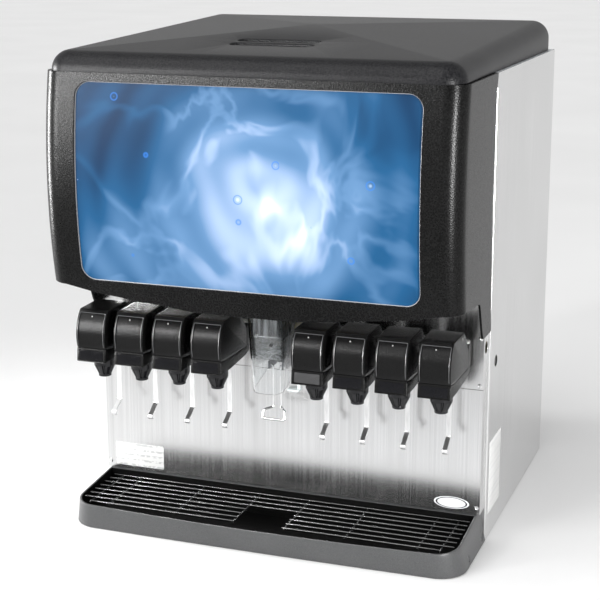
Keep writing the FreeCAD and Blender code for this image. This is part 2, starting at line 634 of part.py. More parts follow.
# ---- drip tray and cup rest ----
def tray_outline(half, front, bow, rear, corner, z):
    """Tray outline: bowed front, rounded front corners, square rear corners."""
    k = corner * (1 - math.sqrt(0.5))
    edges = [line((-half, rear, z), (-half, front + corner, z)),
             arc((-half, front + corner, z), (-half + k, front + k, z), (-half + corner, front, z)),
             arc((-half + corner, front, z), (0, front - bow, z), (half - corner, front, z)),
             arc((half - corner, front, z), (half - k, front + k, z), (half, front + corner, z)),
             line((half, front + corner, z), (half, rear, z)), line((half, rear, z), (-half, rear, z))]
    return Part.Wire(edges)


def drip_tray():
    top = TRAY_RIM_Z[1] + 1
    outer = Part.makeLoft([tray_outline(TRAY_HALF, TRAY_FRONT, 3, TRAY_REAR, 52, 0),
                           tray_outline(TRAY_RIM_HALF, TRAY_RIM_FRONT, 13, TRAY_REAR, 46, top)], True, True)
    w, basin_rear = TRAY_WALL, PANEL_FACE - 3.5
    inner = Part.makeLoft([tray_outline(TRAY_HALF - w - 4, TRAY_FRONT + w + 4, 3, basin_rear, 44, TRAY_FLOOR_Z),
                           tray_outline(TRAY_RIM_HALF - w, TRAY_RIM_FRONT + w, 13, basin_rear, 42, top + 1)],
                          True, True)
    slope = side_slab([(-400, TRAY_RIM_Z[0] - 1), (-330, TRAY_RIM_Z[0]), (-172, TRAY_RIM_Z[1]), (-100, TRAY_RIM_Z[1]),
                       (-100, 90), (-400, 90)], -400, 400)
    under = box((-TRAY_RIM_HALF + 6, TRAY_RIM_HALF - 6), (PANEL_FACE + 2, 0), (-1, 55))
    drain = rod((DRAIN_X, TRAY_REAR - 40, DRAIN_Z), (DRAIN_X, TRAY_REAR + 1, DRAIN_Z), DRAIN_R)
    posts = [rod((x, basin_rear - 10, 0), (x, basin_rear - 10, 44.3), 6.0) for x in (-300, -166, 166, 300)]
    posts += [rod((x, TRAY_RIM_FRONT + 14, 2), (x, TRAY_RIM_FRONT + 14, 47.2), 5.0) for x in (-250, -120, 120, 250)]
    tray = outer.cut(inner).cut(slope).cut(under).fuse(posts).cut(drain)
    notch = box((TRAY_HALF - 9, TRAY_HALF + 1), (-3, 3), (9, 17))
    for y in (CABINET_FRONT - 21, CABINET_FRONT - 120):
        tray = tray.cut(mirrored_pair(notch.translated(Vector(-5, y, 0))))
    return tray


def cup_rest():
    """Wire grid in three bays; the middle bay is open towards the front, under the ice chute."""
    z, r, bay = CUP_REST_Z, CUP_WIRE_R, 50.0
    ys = [CUP_REST_REAR - CUP_WIRE_PITCH * i for i in range(8)]
    wires = []
    for i, y in enumerate(ys):
        reach = 361.0 if i < 7 else 341.0
        if i < 4:
            wires.append(rod((-reach, y, z), (reach, y, z), r))
        else:
            wires += mirrored_pair(rod((bay - 2, y, z), (reach, y, z), r))
    for x in (bay, 166, 300, 340):
        wires += mirrored_pair(rod((x, ys[0] + 1.5, z - 2.6), (x, ys[-1] - 1.5, z - 2.6), 1.8))
    return fused(wires)


# ---- small fittings ----
def pan_screw(base, direction, radius=4.2):
    base, direction = Vector(*base), Vector(*direction)
    head = Part.makeCylinder(radius, SCREW_HEAD, base, direction)
    shank = Part.makeCylinder(1.8, 4.5, base, direction.negative())
    return head.fuse(shank)


def panel_screws():
    front = [pan_screw((x, PANEL_FACE, z), (0, -1, 0)) for z in (75.0, 307.0, 395.0) for x in (-369.5, 369.5)]
    rear = [pan_screw((x, CABINET_REAR, z), (0, 1, 0)) for z in (60.0, 330.0, 600.0, 830.0) for x in (-340, 340)]
    return group(front + rear)


def hole_plug():
    centre = Vector(CABINET_HALF - 2, CABINET_FRONT + 47.6, 333.8)
    plug = Part.makeCylinder(SIDE_HOLE_R - 0.05, 2.4, centre, Vector(1, 0, 0))
    return plug.cut(Part.makeCylinder(SIDE_HOLE_R - 2, 1.0, centre, Vector(1, 0, 0)))


def label_plates():
    """Blank data label and oval badge on the splash panel, and a clear label let into the right side."""
    oval = Part.Ellipse(Vector(323.0, 80.0, 0), 33.0, 11.5).toShape()
    badge = Part.Face(Part.Wire([oval])).extrude(Vector(0, 0, 1.0))
    badge = badge.rotated(Vector(0, 0, 0), Vector(1, 0, 0), 90).translated(Vector(0, PANEL_FACE, 0))
    front = box((-357, -254.5), (PANEL_FACE - 0.4, PANEL_FACE), (69.5, 116.5))
    return group([front, side_label(), badge])


def power_inlet():
    """Appliance inlet in the rear sheet; the mains lead unplugs here."""
    rear = CABINET_REAR - 0.2
    body = box((217, 265), (rear - 25, rear), (47, 73))
    body = body.cut(rounded(box((223, 259), (rear - 18, rear + 1), (49.5, 70.5)), Vector(0, 1, 0), 4.0))
    blades = [box((x - 1, x + 1), (rear - 19, rear - 3), (55, 60)) for x in (232, 241, 250)]
    return fused([body] + blades)


def main():
    os.makedirs("parts", exist_ok=True)
    single = [base_pan, wrapper, splash_panel, valve_panel, bezel, sign_panel, light_box, lamp_tubes, lampholders,
              control_box, bin_liner, bin_insulation, cold_plate, beverage_tubing, inlet_fittings, drain_lines,
              agitator, agitator_gearmotor, ice_gate, gate_solenoid, ice_chute, chute_cover, ice_lever,
              ice_lever_bracket, water_tab, lid, drip_tray, cup_rest, panel_screws, hole_plug, label_plates,
              power_inlet]
    for piece in single:
        save(piece.__name__, piece())
    centres = valve_centres()
    for number, x in enumerate(centres, start=1):
        for piece in (valve_body, valve_cover, cup_lever):
            save(f"{piece.__name__}_{number}", piece(x))
    save("valve_nozzles", group([valve_nozzle(x) for x in centres]))
    save("mounting_blocks", group([mounting_block(x) for x in centres]))
    save("valve_coils", group([coil for x in centres for coil in valve_coils(x)]))
    save("lever_pins", group([lever_pin(x) for x in centres]))


main()
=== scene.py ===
import json
import math

import bmesh
import bpy
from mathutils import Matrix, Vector


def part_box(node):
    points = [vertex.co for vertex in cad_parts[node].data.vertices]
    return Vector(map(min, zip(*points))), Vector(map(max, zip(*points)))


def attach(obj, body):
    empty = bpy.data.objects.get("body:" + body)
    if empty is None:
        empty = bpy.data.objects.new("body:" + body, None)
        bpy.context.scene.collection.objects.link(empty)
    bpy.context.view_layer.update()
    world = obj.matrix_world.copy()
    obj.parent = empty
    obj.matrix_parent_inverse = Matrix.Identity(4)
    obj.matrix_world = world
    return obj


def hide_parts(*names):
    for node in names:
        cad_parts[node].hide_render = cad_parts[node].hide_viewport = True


# Looks for a counter-top ice and beverage dispenser. Shapes are written in millimetres in the
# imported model's frame (+X the viewer's right, +Y to the rear, +Z up) and scaled to metres.
# Textures, lights and the camera are in metres.

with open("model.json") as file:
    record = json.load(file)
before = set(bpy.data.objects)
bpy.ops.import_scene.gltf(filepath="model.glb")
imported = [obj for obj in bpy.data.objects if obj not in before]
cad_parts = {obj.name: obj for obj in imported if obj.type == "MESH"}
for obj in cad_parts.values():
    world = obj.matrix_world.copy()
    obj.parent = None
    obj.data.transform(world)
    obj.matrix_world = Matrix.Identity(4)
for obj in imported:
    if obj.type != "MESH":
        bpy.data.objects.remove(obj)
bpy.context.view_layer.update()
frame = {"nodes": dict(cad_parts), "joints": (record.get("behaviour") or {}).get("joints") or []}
MM = 0.001


def box_mm(node):
    low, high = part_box(node)
    return low / MM, high / MM


def joint_point(name):
    joint = next(j for j in frame["joints"] if j["name"] == name)
    return Vector(joint["pos_m"]) / MM


# ---- mesh helpers ----
def finish_mesh(name, verts, faces, angle=35.0, outward=None):
    """A mesh from millimetre points; edges sharper than the angle stay sharp."""
    mesh = bpy.data.meshes.new(name)
    mesh.from_pydata([Vector(v) * MM for v in verts], [], faces)
    bm = bmesh.new()
    bm.from_mesh(mesh)
    bmesh.ops.remove_doubles(bm, verts=bm.verts, dist=1e-6)
    bmesh.ops.dissolve_degenerate(bm, edges=bm.edges, dist=1e-7)
    bmesh.ops.recalc_face_normals(bm, faces=bm.faces)
    if outward is not None:
        bm.faces.ensure_lookup_table()
        probe = max(bm.faces, key=lambda f: f.calc_center_median().dot(Vector(outward)))
        if probe.normal.dot(Vector(outward)) < 0:
            bmesh.ops.reverse_faces(bm, faces=bm.faces)
    soften(bm, angle)
    bm.to_mesh(mesh)
    bm.free()
    return mesh


def soften(bm, angle):
    for face in bm.faces:
        face.smooth = True
    for edge in bm.edges:
        edge.smooth = len(edge.link_faces) == 2 and edge.calc_face_angle(0.0) < math.radians(angle)


class Shape:
    """Points and faces collected for one mesh."""

    def __init__(self):
        self.verts, self.faces = [], []

    def loop(self, points):
        first = len(self.verts)
        self.verts += [tuple(p) for p in points]
        return list(range(first, len(self.verts)))

    def bridge(self, a, b, closed=True):
        count = len(a) if closed else len(a) - 1
        for i in range(count):
            j = (i + 1) % len(a)
            self.faces.append((a[i], a[j], b[j], b[i]))

    def loft(self, loops, closed=True, caps=(True, True)):
        rows = [self.loop(points) for points in loops]
        for a, b in zip(rows, rows[1:]):
            self.bridge(a, b, closed)
        if closed and caps[0]:
            self.faces.append(tuple(reversed(rows[0])))
        if closed and caps[1]:
            self.faces.append(tuple(rows[-1]))
        return rows

    def mesh(self, name, **kw):
        return finish_mesh(name, self.verts, self.faces, **kw)


def put(name, data):
    obj = bpy.data.objects.new(name, data)
    bpy.context.scene.collection.objects.link(obj)
    return obj


def piece(name, mesh, body, material, replaced=(), x=0.0):
    """One piece of the visual; pieces that share a mesh stand at their own x."""
    obj = put(name, mesh)
    obj.location.x = x * MM
    if not mesh.materials:
        mesh.materials.append(material)
    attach(obj, body)
    if replaced:
        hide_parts(*replaced)
    return obj


def bevel(obj, width, segments=2, angle=40.0):
    modifier = obj.modifiers.new("edges", "BEVEL")
    modifier.width, modifier.segments = width * MM, segments
    modifier.limit_method, modifier.angle_limit = "ANGLE", math.radians(angle)
    modifier.harden_normals = True
    return obj


def carve(obj, cutter_mesh):
    """Takes a cutter's volume out of a piece for good."""
    cutter = put("cutter", cutter_mesh)
    cut = obj.modifiers.new("cut", "BOOLEAN")
    cut.object, cut.operation, cut.solver = cutter, "DIFFERENCE", "EXACT"
    carved = obj.evaluated_get(bpy.context.evaluated_depsgraph_get())
    mesh = bpy.data.meshes.new_from_object(carved)
    obj.modifiers.clear()
    obj.data = mesh
    bpy.data.objects.remove(cutter)
    bpy.data.meshes.remove(cutter_mesh)


def arc_points(centre, radius, start, end, count):
    """Points on an arc in a plane, angles in degrees, both ends included."""
    angles = [math.radians(start + (end - start) * i / (count - 1)) for i in range(count)]
    return [(centre[0] + radius * math.cos(a), centre[1] + radius * math.sin(a)) for a in angles]


def rounded_rect(x, y, radius, side=6, corner=7):
    """Closed plan outline of a rounded rectangle, anticlockwise from the lower right corner."""
    corners = [((x[1] - radius, y[0] + radius), -90), ((x[1] - radius, y[1] - radius), 0),
               ((x[0] + radius, y[1] - radius), 90), ((x[0] + radius, y[0] + radius), 180)]
    outline = []
    for k, (centre, start) in enumerate(corners):
        outline += arc_points(centre, radius, start, start + 90, corner)
        after = arc_points(corners[(k + 1) % 4][0], radius, start + 90, start + 91, 2)[0]
        last = outline[-1]
        outline += [(last[0] + (after[0] - last[0]) * i / side, last[1] + (after[1] - last[1]) * i / side)
                    for i in range(1, side)]
    return outline


def capsule_outline(cx, cy, half, radius):
    right = arc_points((cx + half - radius, cy), radius, -90, 90, 12)
    left = arc_points((cx - half + radius, cy), radius, 90, 270, 12)
    return right + left


def bent_path(points, radius, steps=6):
    """A 3-D polyline with each corner turned into an arc."""
    points = [Vector(p) for p in points]
    path = [points[0]]
    for a, b, c in zip(points, points[1:], points[2:]):
        into, out = (b - a).normalized(), (c - b).normalized()
        turn = into.angle(out)
        reach = min(radius * math.tan(turn / 2), (b - a).length * 0.49, (c - b).length * 0.49)
        for i in range(steps + 1):
            t = i / steps
            start, end = b - into * reach, b + out * reach
            path.append(start * (1 - t) ** 2 + b * 2 * t * (1 - t) + end * t * t)
    return path + [points[-1]]


def sweep(shape, path, section, side=Vector((1, 0, 0)), round_ends=0.0):
    """Sweeps a section of (side, normal) offsets along a path that keeps to one side vector."""
    loops = []
    count = len(path)
    for i, point in enumerate(path):
        ahead = (path[min(i + 1, count - 1)] - path[max(i - 1, 0)]).normalized()
        across = (side - ahead * side.dot(ahead)).normalized()
        up = ahead.cross(across)
        loops.append([point + across * u + up * v for u, v in section])
    if round_ends:
        first, last = (path[1] - path[0]).normalized(), (path[-1] - path[-2]).normalized()
        head = [[path[0] + (p - path[0]) * k - first * d * round_ends for p in loops[0]]
                for k, d in ((0.4, 0.9), (0.8, 0.55))]
        tail = [[path[-1] + (p - path[-1]) * k + last * d * round_ends for p in loops[-1]]
                for k, d in ((0.8, 0.55), (0.4, 0.9))]
        loops = head + loops + tail
    shape.loft(loops)


def wire_along(shape, path, radius, count=14, across=Vector((0, 0, 1))):
    """A round wire along any path; the frame is carried along so that it never twists."""
    loops = []
    for i, point in enumerate(path):
        ahead = (path[min(i + 1, len(path) - 1)] - path[max(i - 1, 0)]).normalized()
        across = (across - ahead * across.dot(ahead)).normalized()
        up = ahead.cross(across)
        loops.append([point + across * u + up * v for u, v in ring_section(radius, count)])
    shape.loft(loops)


def ring_section(radius, count=12):
    return [(radius * math.cos(2 * math.pi * i / count), radius * math.sin(2 * math.pi * i / count))
            for i in range(count)]


TURNED_PLACES = {"x": lambda u, v, w: (w, u, v), "y": lambda u, v, w: (u, w, v),
                 "z": lambda u, v, w: (u, v, w)}


def turned(shape, centre, profile, axis="z", count=32):
    """A turned solid from (radius, height) points."""
    loops = []
    for radius, height in profile:
        ring = [TURNED_PLACES[axis](u, v, height) for u, v in ring_section(max(radius, 0.01), count)]
        loops.append([tuple(c + d for c, d in zip(centre, point)) for point in ring])
    shape.loft(loops)


def slab(shape, outline, low, high, edge=0.0, place=lambda u, v, w: (u, v, w)):
    """A plate from a plan outline with its top and bottom edges eased."""
    cu = sum(p[0] for p in outline) / len(outline)
    cv = sum(p[1] for p in outline) / len(outline)
    reach = max(max(abs(p[0] - cu), abs(p[1] - cv)) for p in outline)

    def shrunk(d):
        k = 1 - d / reach
        return [(cu + (u - cu) * k, cv + (v - cv) * k) for u, v in outline]

    levels = [(edge, low), (edge * 0.3, low + edge * 0.3), (0, low + edge), (0, high - edge),
              (edge * 0.3, high - edge * 0.3), (edge, high)] if edge else [(0, low), (0, high)]
    shape.loft([[place(u, v, w) for u, v in shrunk(d)] for d, w in levels])


# ---- materials ----
def new_material(name, **sockets):
    material = bpy.data.materials.new(name)
    material.use_nodes = True
    shader = material.node_tree.nodes["Principled BSDF"]
    for socket, value in sockets.items():
        shader.inputs[socket.replace("_", " ")].default_value = value
    return material, material.node_tree, shader


def add(tree, kind, inputs=None, **settings):
    """A shader node; an input takes a value or another node's output."""
    made = tree.nodes.new("ShaderNode" + kind)
    for key, value in settings.items():
        setattr(made, key, value)
    for key, value in (inputs or {}).items():
        if isinstance(value, bpy.types.NodeSocket):
            tree.links.new(value, made.inputs[key])
        else:
            made.inputs[key].default_value = value
    return made


def feed(tree, shader, **sources):
    for socket, source in sources.items():
        tree.links.new(source, shader.inputs[socket.replace("_", " ")])


def placed(tree, stretch=(1, 1, 1)):
    """Object coordinates, scaled per axis to stretch a texture."""
    where = add(tree, "TexCoord").outputs["Object"]
    return add(tree, "Mapping", {"Vector": where, "Scale": stretch}).outputs[0]


def noise(tree, where, scale, detail, **more):
    return add(tree, "TexNoise", {"Vector": where, "Scale": scale, "Detail": detail, **more}).outputs["Fac"]


def ramp(tree, factor, stops):
    """Colours along a factor; a single number stands for a grey."""
    made = add(tree, "ValToRGB", {"Fac": factor})
    elements = made.color_ramp.elements
    while len(elements) < len(stops):
        elements.new(0.5)
    for element, (position, colour) in zip(elements, stops):
        element.position = position
        element.color = (*(colour if isinstance(colour, tuple) else (colour,) * 3), 1.0)
    return made.outputs["Color"]


def spread(tree, factor, low, high):
    return add(tree, "MapRange", {"Value": factor, "To Min": low, "To Max": high}).outputs[0]


def scalar(tree, operation, a, b=0.0):
    made = add(tree, "Math", operation=operation)
    for socket, value in zip(made.inputs, (a, b)):
        if isinstance(value, bpy.types.NodeSocket):
            tree.links.new(value, socket)
        else:
            socket.default_value = value
    return made.outputs[0]


def vector(tree, operation, a, b):
    """A vector sum, difference, product or distance; b may be a value."""
    return add(tree, "VectorMath", {0: a, 1: b}, operation=operation)


def blended(tree, factor, a, b):
    return add(tree, "Mix", {"Factor": factor, "A": a, "B": b}, data_type="RGBA").outputs["Result"]


def bump(tree, shader, height, strength, distance):
    made = add(tree, "Bump", {"Height": height, "Strength": strength, "Distance": distance})
    tree.links.new(made.outputs[0], shader.inputs["Normal"])


def grained_plastic(name, dark, light, grain, strength, rough, shine):
    """Moulded plastic with a fine pebble grain and a slow change of shade."""
    material, tree, shader = new_material(name, Specular_IOR_Level=shine)
    where = placed(tree)
    slow, fine = noise(tree, where, 9.0, 3.0), noise(tree, where, grain * 0.7, 4.0)
    pebble = add(tree, "TexVoronoi", {"Vector": where, "Scale": grain, "Smoothness": 0.6},
                 feature="SMOOTH_F1")
    blend = add(tree, "Mix", {"Factor": 0.75, "A": slow, "B": fine}).outputs[0]
    feed(tree, shader, Base_Color=ramp(tree, blend, [(0.38, dark), (0.62, light)]),
         Roughness=spread(tree, fine, *rough))
    bump(tree, shader, pebble.outputs["Distance"], strength, 0.0005)
    return material


def brushed(name, shade, stretch, rough, strength):
    """Sheet steel or wire with brush lines; the stretch is small along the lines."""
    material, tree, shader = new_material(name, Metallic=1.0)
    lines = noise(tree, placed(tree, stretch), 1.0, 1.0, Roughness=0.5)
    cloud = noise(tree, placed(tree), 5.0, 2.0)
    blend = add(tree, "Mix", {"Factor": 0.3, "A": lines, "B": cloud}).outputs[0]
    feed(tree, shader, Base_Color=ramp(tree, blend, [(0.3, shade * 0.88), (0.7, min(1.0, shade * 1.1))]),
         Roughness=spread(tree, lines, *rough))
    bump(tree, shader, lines, strength, 0.0002)
    return material


def plain(name, dark, light, scale=40.0, rough=(0.35, 0.5), metallic=0.0, strength=0.1, **sockets):
    """A small or inner part: slight mottling, slight unevenness."""
    material, tree, shader = new_material(name, Metallic=metallic, **sockets)
    mottle = noise(tree, placed(tree), scale, 4.0)
    feed(tree, shader, Base_Color=ramp(tree, mottle, [(0.3, dark), (0.7, light)]),
         Roughness=spread(tree, mottle, *rough))
    bump(tree, shader, mottle, strength, 0.0003)
    return material


def clear_plastic(name):
    material, tree, shader = new_material(name, Transmission_Weight=1.0, IOR=1.46, Specular_IOR_Level=0.6)
    uneven = noise(tree, placed(tree), 60.0, 2.0)
    feed(tree, shader, Base_Color=ramp(tree, uneven, [(0.2, (0.93, 0.95, 0.96)), (0.8, (0.99, 1.0, 1.0))]),
         Roughness=spread(tree, uneven, 0.02, 0.08))
    bump(tree, shader, uneven, 0.15, 0.0006)
    return material


def smoked_plastic(name):
    """Half-clear moulding: grey streaks in its upper length, clear and rippled at its mouth."""
    material, tree, shader = new_material(name, IOR=1.45)
    height = add(tree, "SeparateXYZ", {"Vector": placed(tree)}).outputs["Z"]
    upper = add(tree, "MapRange", {"Value": height, "From Min": 0.382, "From Max": 0.392}).outputs[0]
    streak = noise(tree, placed(tree, (130, 130, 8)), 1.0, 3.0)
    ripple = noise(tree, placed(tree, (110, 110, 160)), 1.0, 3.0, Distortion=1.5)
    dark = ramp(tree, streak, [(0.38, (0.025, 0.027, 0.03)), (0.5, (0.16, 0.17, 0.18)),
                               (0.66, (0.55, 0.57, 0.60))])
    pale = ramp(tree, ripple, [(0.36, (0.22, 0.23, 0.24)), (0.5, (0.86, 0.88, 0.89)),
                               (0.7, (0.97, 0.98, 0.99))])
    feed(tree, shader, Base_Color=blended(tree, upper, pale, dark),
         Transmission_Weight=spread(tree, upper, 0.85, 0.45), Roughness=spread(tree, streak, 0.05, 0.18))
    bump(tree, shader, ripple, 0.55, 0.003)
    return material


def glow(tree, point, centre, radius):
    """1 at the centre of a soft round patch on the sign, falling to 0 at its radius (metres)."""
    away = vector(tree, "DISTANCE", point, (centre[0], 0, centre[1])).outputs["Value"]
    return add(tree, "MapRange", {"Value": away, "From Max": radius, "To Min": 1.0, "To Max": 0.0},
               interpolation_type="SMOOTHERSTEP").outputs[0]


SIGN_PATCHES = (((0.10, 0.76), 0.27, 0.34), ((0.22, 0.66), 0.20, 0.16), ((-0.02, 0.84), 0.20, 0.14),
                ((0.24, 0.90), 0.14, 0.12), ((0.04, 0.64), 0.22, 0.18), ((-0.14, 0.62), 0.18, 0.14))


def sign_light(tree, flat):
    """How bright the sign's picture is: patches of light, swirl crests, round ripples and haze."""
    warp = add(tree, "TexNoise", {"Vector": flat, "Scale": 3.2, "Detail": 2.0}).outputs["Color"]
    push = vector(tree, "MULTIPLY", warp, (0.12, 0.0, 0.12)).outputs[0]
    point = vector(tree, "ADD", flat, push).outputs[0]
    swirl = noise(tree, point, 5.0, 3.0, Roughness=0.45, Distortion=1.2)
    crest = scalar(tree, "ABSOLUTE", scalar(tree, "SUBTRACT", swirl, 0.5))
    crest = add(tree, "MapRange", {"Value": crest, "From Max": 0.07, "To Min": 0.09, "To Max": 0.0},
                interpolation_type="SMOOTHSTEP").outputs[0]
    from_middle = vector(tree, "SUBTRACT", point, (0.1, 0, 0.74)).outputs[0]
    ripple = add(tree, "TexWave", {"Vector": from_middle, "Scale": 4.2, "Distortion": 2.4, "Detail": 2.0,
                                   "Detail Scale": 1.4}, wave_type="RINGS", rings_direction="SPHERICAL")
    height = add(tree, "SeparateXYZ", {"Vector": flat}).outputs["Z"]
    parts = [(glow(tree, point, centre, radius), weight) for centre, radius, weight in SIGN_PATCHES]
    haze = noise(tree, point, 3.5, 2.0)
    parts += [(crest, 1.0), (ripple.outputs["Fac"], 0.09), (haze, 0.45), (height, -0.35)]
    total = 0.13
    for part, weight in parts:
        total = scalar(tree, "ADD", total, scalar(tree, "MULTIPLY", part, weight))
    return total


def with_bubbles(tree, picture, flat, scale, size, seed):
    """Adds a few round air bubbles, each with a dark rim and a pale ring inside it."""
    where = vector(tree, "ADD", flat, (seed, 0, seed)).outputs[0]
    cells = add(tree, "TexVoronoi", {"Vector": where, "Scale": scale, "Randomness": 0.9}, feature="F1")
    rare = add(tree, "SeparateColor", {"Color": cells.outputs["Color"]})
    chosen = scalar(tree, "GREATER_THAN", rare.outputs[0], 0.80)
    span = scalar(tree, "ADD", scalar(tree, "MULTIPLY", rare.outputs[1], size), 0.05)
    ratio = scalar(tree, "DIVIDE", cells.outputs["Distance"], span)
    for middle, width, colour, amount in ((0.86, 0.14, (0.02, 0.12, 0.42, 1.0), 0.7),
                                          (0.30, 0.30, (0.75, 0.85, 0.98, 1.0), 0.5)):
        off = scalar(tree, "ABSOLUTE", scalar(tree, "SUBTRACT", ratio, middle))
        rim = add(tree, "MapRange", {"Value": off, "From Max": width, "To Min": amount, "To Max": 0.0})
        picture = blended(tree, scalar(tree, "MULTIPLY", rim.outputs[0], chosen), picture, colour)
    return picture


def lit_sign(name):
    """Back-lit sheet with a generic picture of blue water, light and air bubbles."""
    material, tree, shader = new_material(name, Roughness=0.38, Specular_IOR_Level=0.08,
                                          Emission_Strength=0.30)
    flat = placed(tree, (1, 0, 1))
    picture = ramp(tree, sign_light(tree, flat), [(0.05, (0.002, 0.018, 0.052)), (0.28, (0.009, 0.055, 0.13)),
                                                  (0.5, (0.07, 0.145, 0.26)), (0.74, (0.29, 0.36, 0.50)),
                                                  (0.95, (0.72, 0.75, 0.80))])
    for scale, size, seed in ((13.0, 0.30, 3.0), (30.0, 0.26, 8.0)):
        picture = with_bubbles(tree, picture, flat, scale, size, seed)
    feed(tree, shader, Base_Color=picture, Emission_Color=picture)
    return material


def printed_label(name, ink, paper, rows):
    """A blank form: faint ruled bands in place of print."""
    material, tree, shader = new_material(name, Specular_IOR_Level=0.4)
    where = add(tree, "SeparateXYZ", {"Vector": placed(tree, (1, 1, rows))})
    band = scalar(tree, "GREATER_THAN", scalar(tree, "FRACT", where.outputs["Z"]), 0.62)
    broken = noise(tree, placed(tree, (140, 1, rows * 2)), 1.0, 1.0)
    band = scalar(tree, "MULTIPLY", band, scalar(tree, "GREATER_THAN", broken, 0.47))
    feed(tree, shader, Base_Color=ramp(tree, scalar(tree, "MULTIPLY", band, 0.5), [(0.0, paper), (1.0, ink)]),
         Roughness=spread(tree, broken, 0.3, 0.45))
    return material


BLACK_GRAIN = grained_plastic("black_grain", 0.001, 0.006, 480.0, 0.35, (0.22, 0.32), 0.14)
LID_GRAIN = grained_plastic("lid_grain", (0.004, 0.004, 0.005), (0.017, 0.017, 0.018), 460.0, 0.5,
                            (0.30, 0.42), 0.15)
VALVE_BLACK = grained_plastic("valve_black", 0.002, 0.006, 1500.0, 0.12, (0.20, 0.30), 0.18)
NOZZLE_BLACK = grained_plastic("nozzle_black", (0.004, 0.004, 0.005), (0.010, 0.010, 0.011), 1500.0, 0.1,
                               (0.14, 0.24), 0.34)
BAND_BLACK = grained_plastic("band_black", (0.002, 0.002, 0.003), (0.006, 0.006, 0.007), 1500.0, 0.05,
                             (0.16, 0.24), 0.16)
# Light grey bead on the black valves: a painted highlight that stands in for light caught on the border's
# edges.
BEAD_PAINTED_HIGHLIGHT = grained_plastic("bead_painted_highlight", (0.040, 0.041, 0.042), (0.075, 0.076, 0.078), 1500.0, 0.05,
                            (0.20, 0.30), 0.5)
# Light grey window lip: a painted highlight that stands in for light caught on the lip round the sign.
GASKET_PAINTED_HIGHLIGHT = grained_plastic("gasket", (0.20, 0.20, 0.21), (0.30, 0.30, 0.31), 1500.0, 0.05, (0.25, 0.35), 0.5)
BAND_GREY = grained_plastic("band_grey", (0.030, 0.030, 0.031), (0.050, 0.050, 0.051), 1500.0, 0.05,
                            (0.3, 0.4), 0.3)
# The tray is black plastic. Its outside is lightened to grey as painted light, as from a low light in front,
# and the basin inside keeps the near-black.
TRAY_PAINTED_LIGHT = grained_plastic("tray_grey", (0.045, 0.046, 0.047), (0.075, 0.076, 0.078), 900.0, 0.2,
                            (0.30, 0.42), 0.6)
TRAY_INSIDE = grained_plastic("tray_inside", 0.001, 0.004, 900.0, 0.2, (0.34, 0.48), 0.10)
STEEL_UP = brushed("steel_up", 0.70, (420, 420, 2), (0.16, 0.26), 0.02)
# Steel darkened well below stainless: painted shade that stands in for the dark surroundings the wires and
# rods reflect.
STEEL_WIRE_PAINTED_SHADE = brushed("steel_wire_painted_shade", 0.15, (60, 400, 400), (0.16, 0.28), 0.03)
STEEL_BRIGHT = brushed("steel_bright", 0.86, (200, 200, 20), (0.08, 0.16), 0.02)
STEEL_LEVER = brushed("steel_lever", 0.78, (300, 300, 60), (0.28, 0.40), 0.03)
CLEAR = clear_plastic("clear_plastic")
SIGN = lit_sign("lit_sign")
WHITE = plain("white_plastic", (0.72, 0.72, 0.70), (0.82, 0.82, 0.80))
ENAMEL_WHITE = plain("white_enamel", 0.75, 0.86, rough=(0.2, 0.32))
ENAMEL_GREY = plain("grey_enamel", (0.20, 0.21, 0.23), (0.27, 0.28, 0.30), scale=300.0, rough=(0.3, 0.45))
ENAMEL_BLACK = plain("black_enamel", 0.01, 0.025, scale=300.0)
LAMP = plain("lamp_glass", (0.85, 0.88, 0.9), (0.95, 0.97, 1.0), rough=(0.1, 0.2), Emission_Strength=0.6,
             Emission_Color=(0.9, 0.95, 1.0, 1.0))
LINER = plain("liner_plastic", (0.70, 0.73, 0.76), (0.80, 0.83, 0.86), scale=14.0, rough=(0.3, 0.42))
FOAM = plain("foam", (0.62, 0.50, 0.22), (0.78, 0.66, 0.34), scale=500.0, rough=(0.8, 0.95), strength=0.6)
CAST = plain("cast_aluminium", (0.45, 0.46, 0.47), (0.62, 0.63, 0.64), scale=200.0, rough=(0.35, 0.55),
             metallic=1.0, strength=0.4)
HOSE_GREY = plain("drain_plastic", (0.40, 0.40, 0.38), (0.52, 0.52, 0.50), scale=80.0)
TAB = plain("tab_plastic", (0.55, 0.60, 0.60), (0.66, 0.70, 0.70), scale=50.0, rough=(0.12, 0.22))
DATA_LABEL = printed_label("data_label", (0.26, 0.27, 0.28), (0.68, 0.68, 0.67), 95.0)
SIDE_LABEL = printed_label("side_label", (0.50, 0.51, 0.52), (0.66, 0.66, 0.65), 90.0)
BADGE_FACE = plain("badge_face", (0.62, 0.63, 0.64), (0.72, 0.73, 0.74), scale=90.0, rough=(0.2, 0.3))
BADGE_RIM = plain("badge_rim", (0.015, 0.015, 0.018), (0.03, 0.03, 0.035), scale=90.0, rough=(0.2, 0.3))
DARK_STEEL = plain("dark_steel", 0.03, 0.07, scale=300.0, metallic=1.0)
SMOKED = smoked_plastic("smoked_plastic")


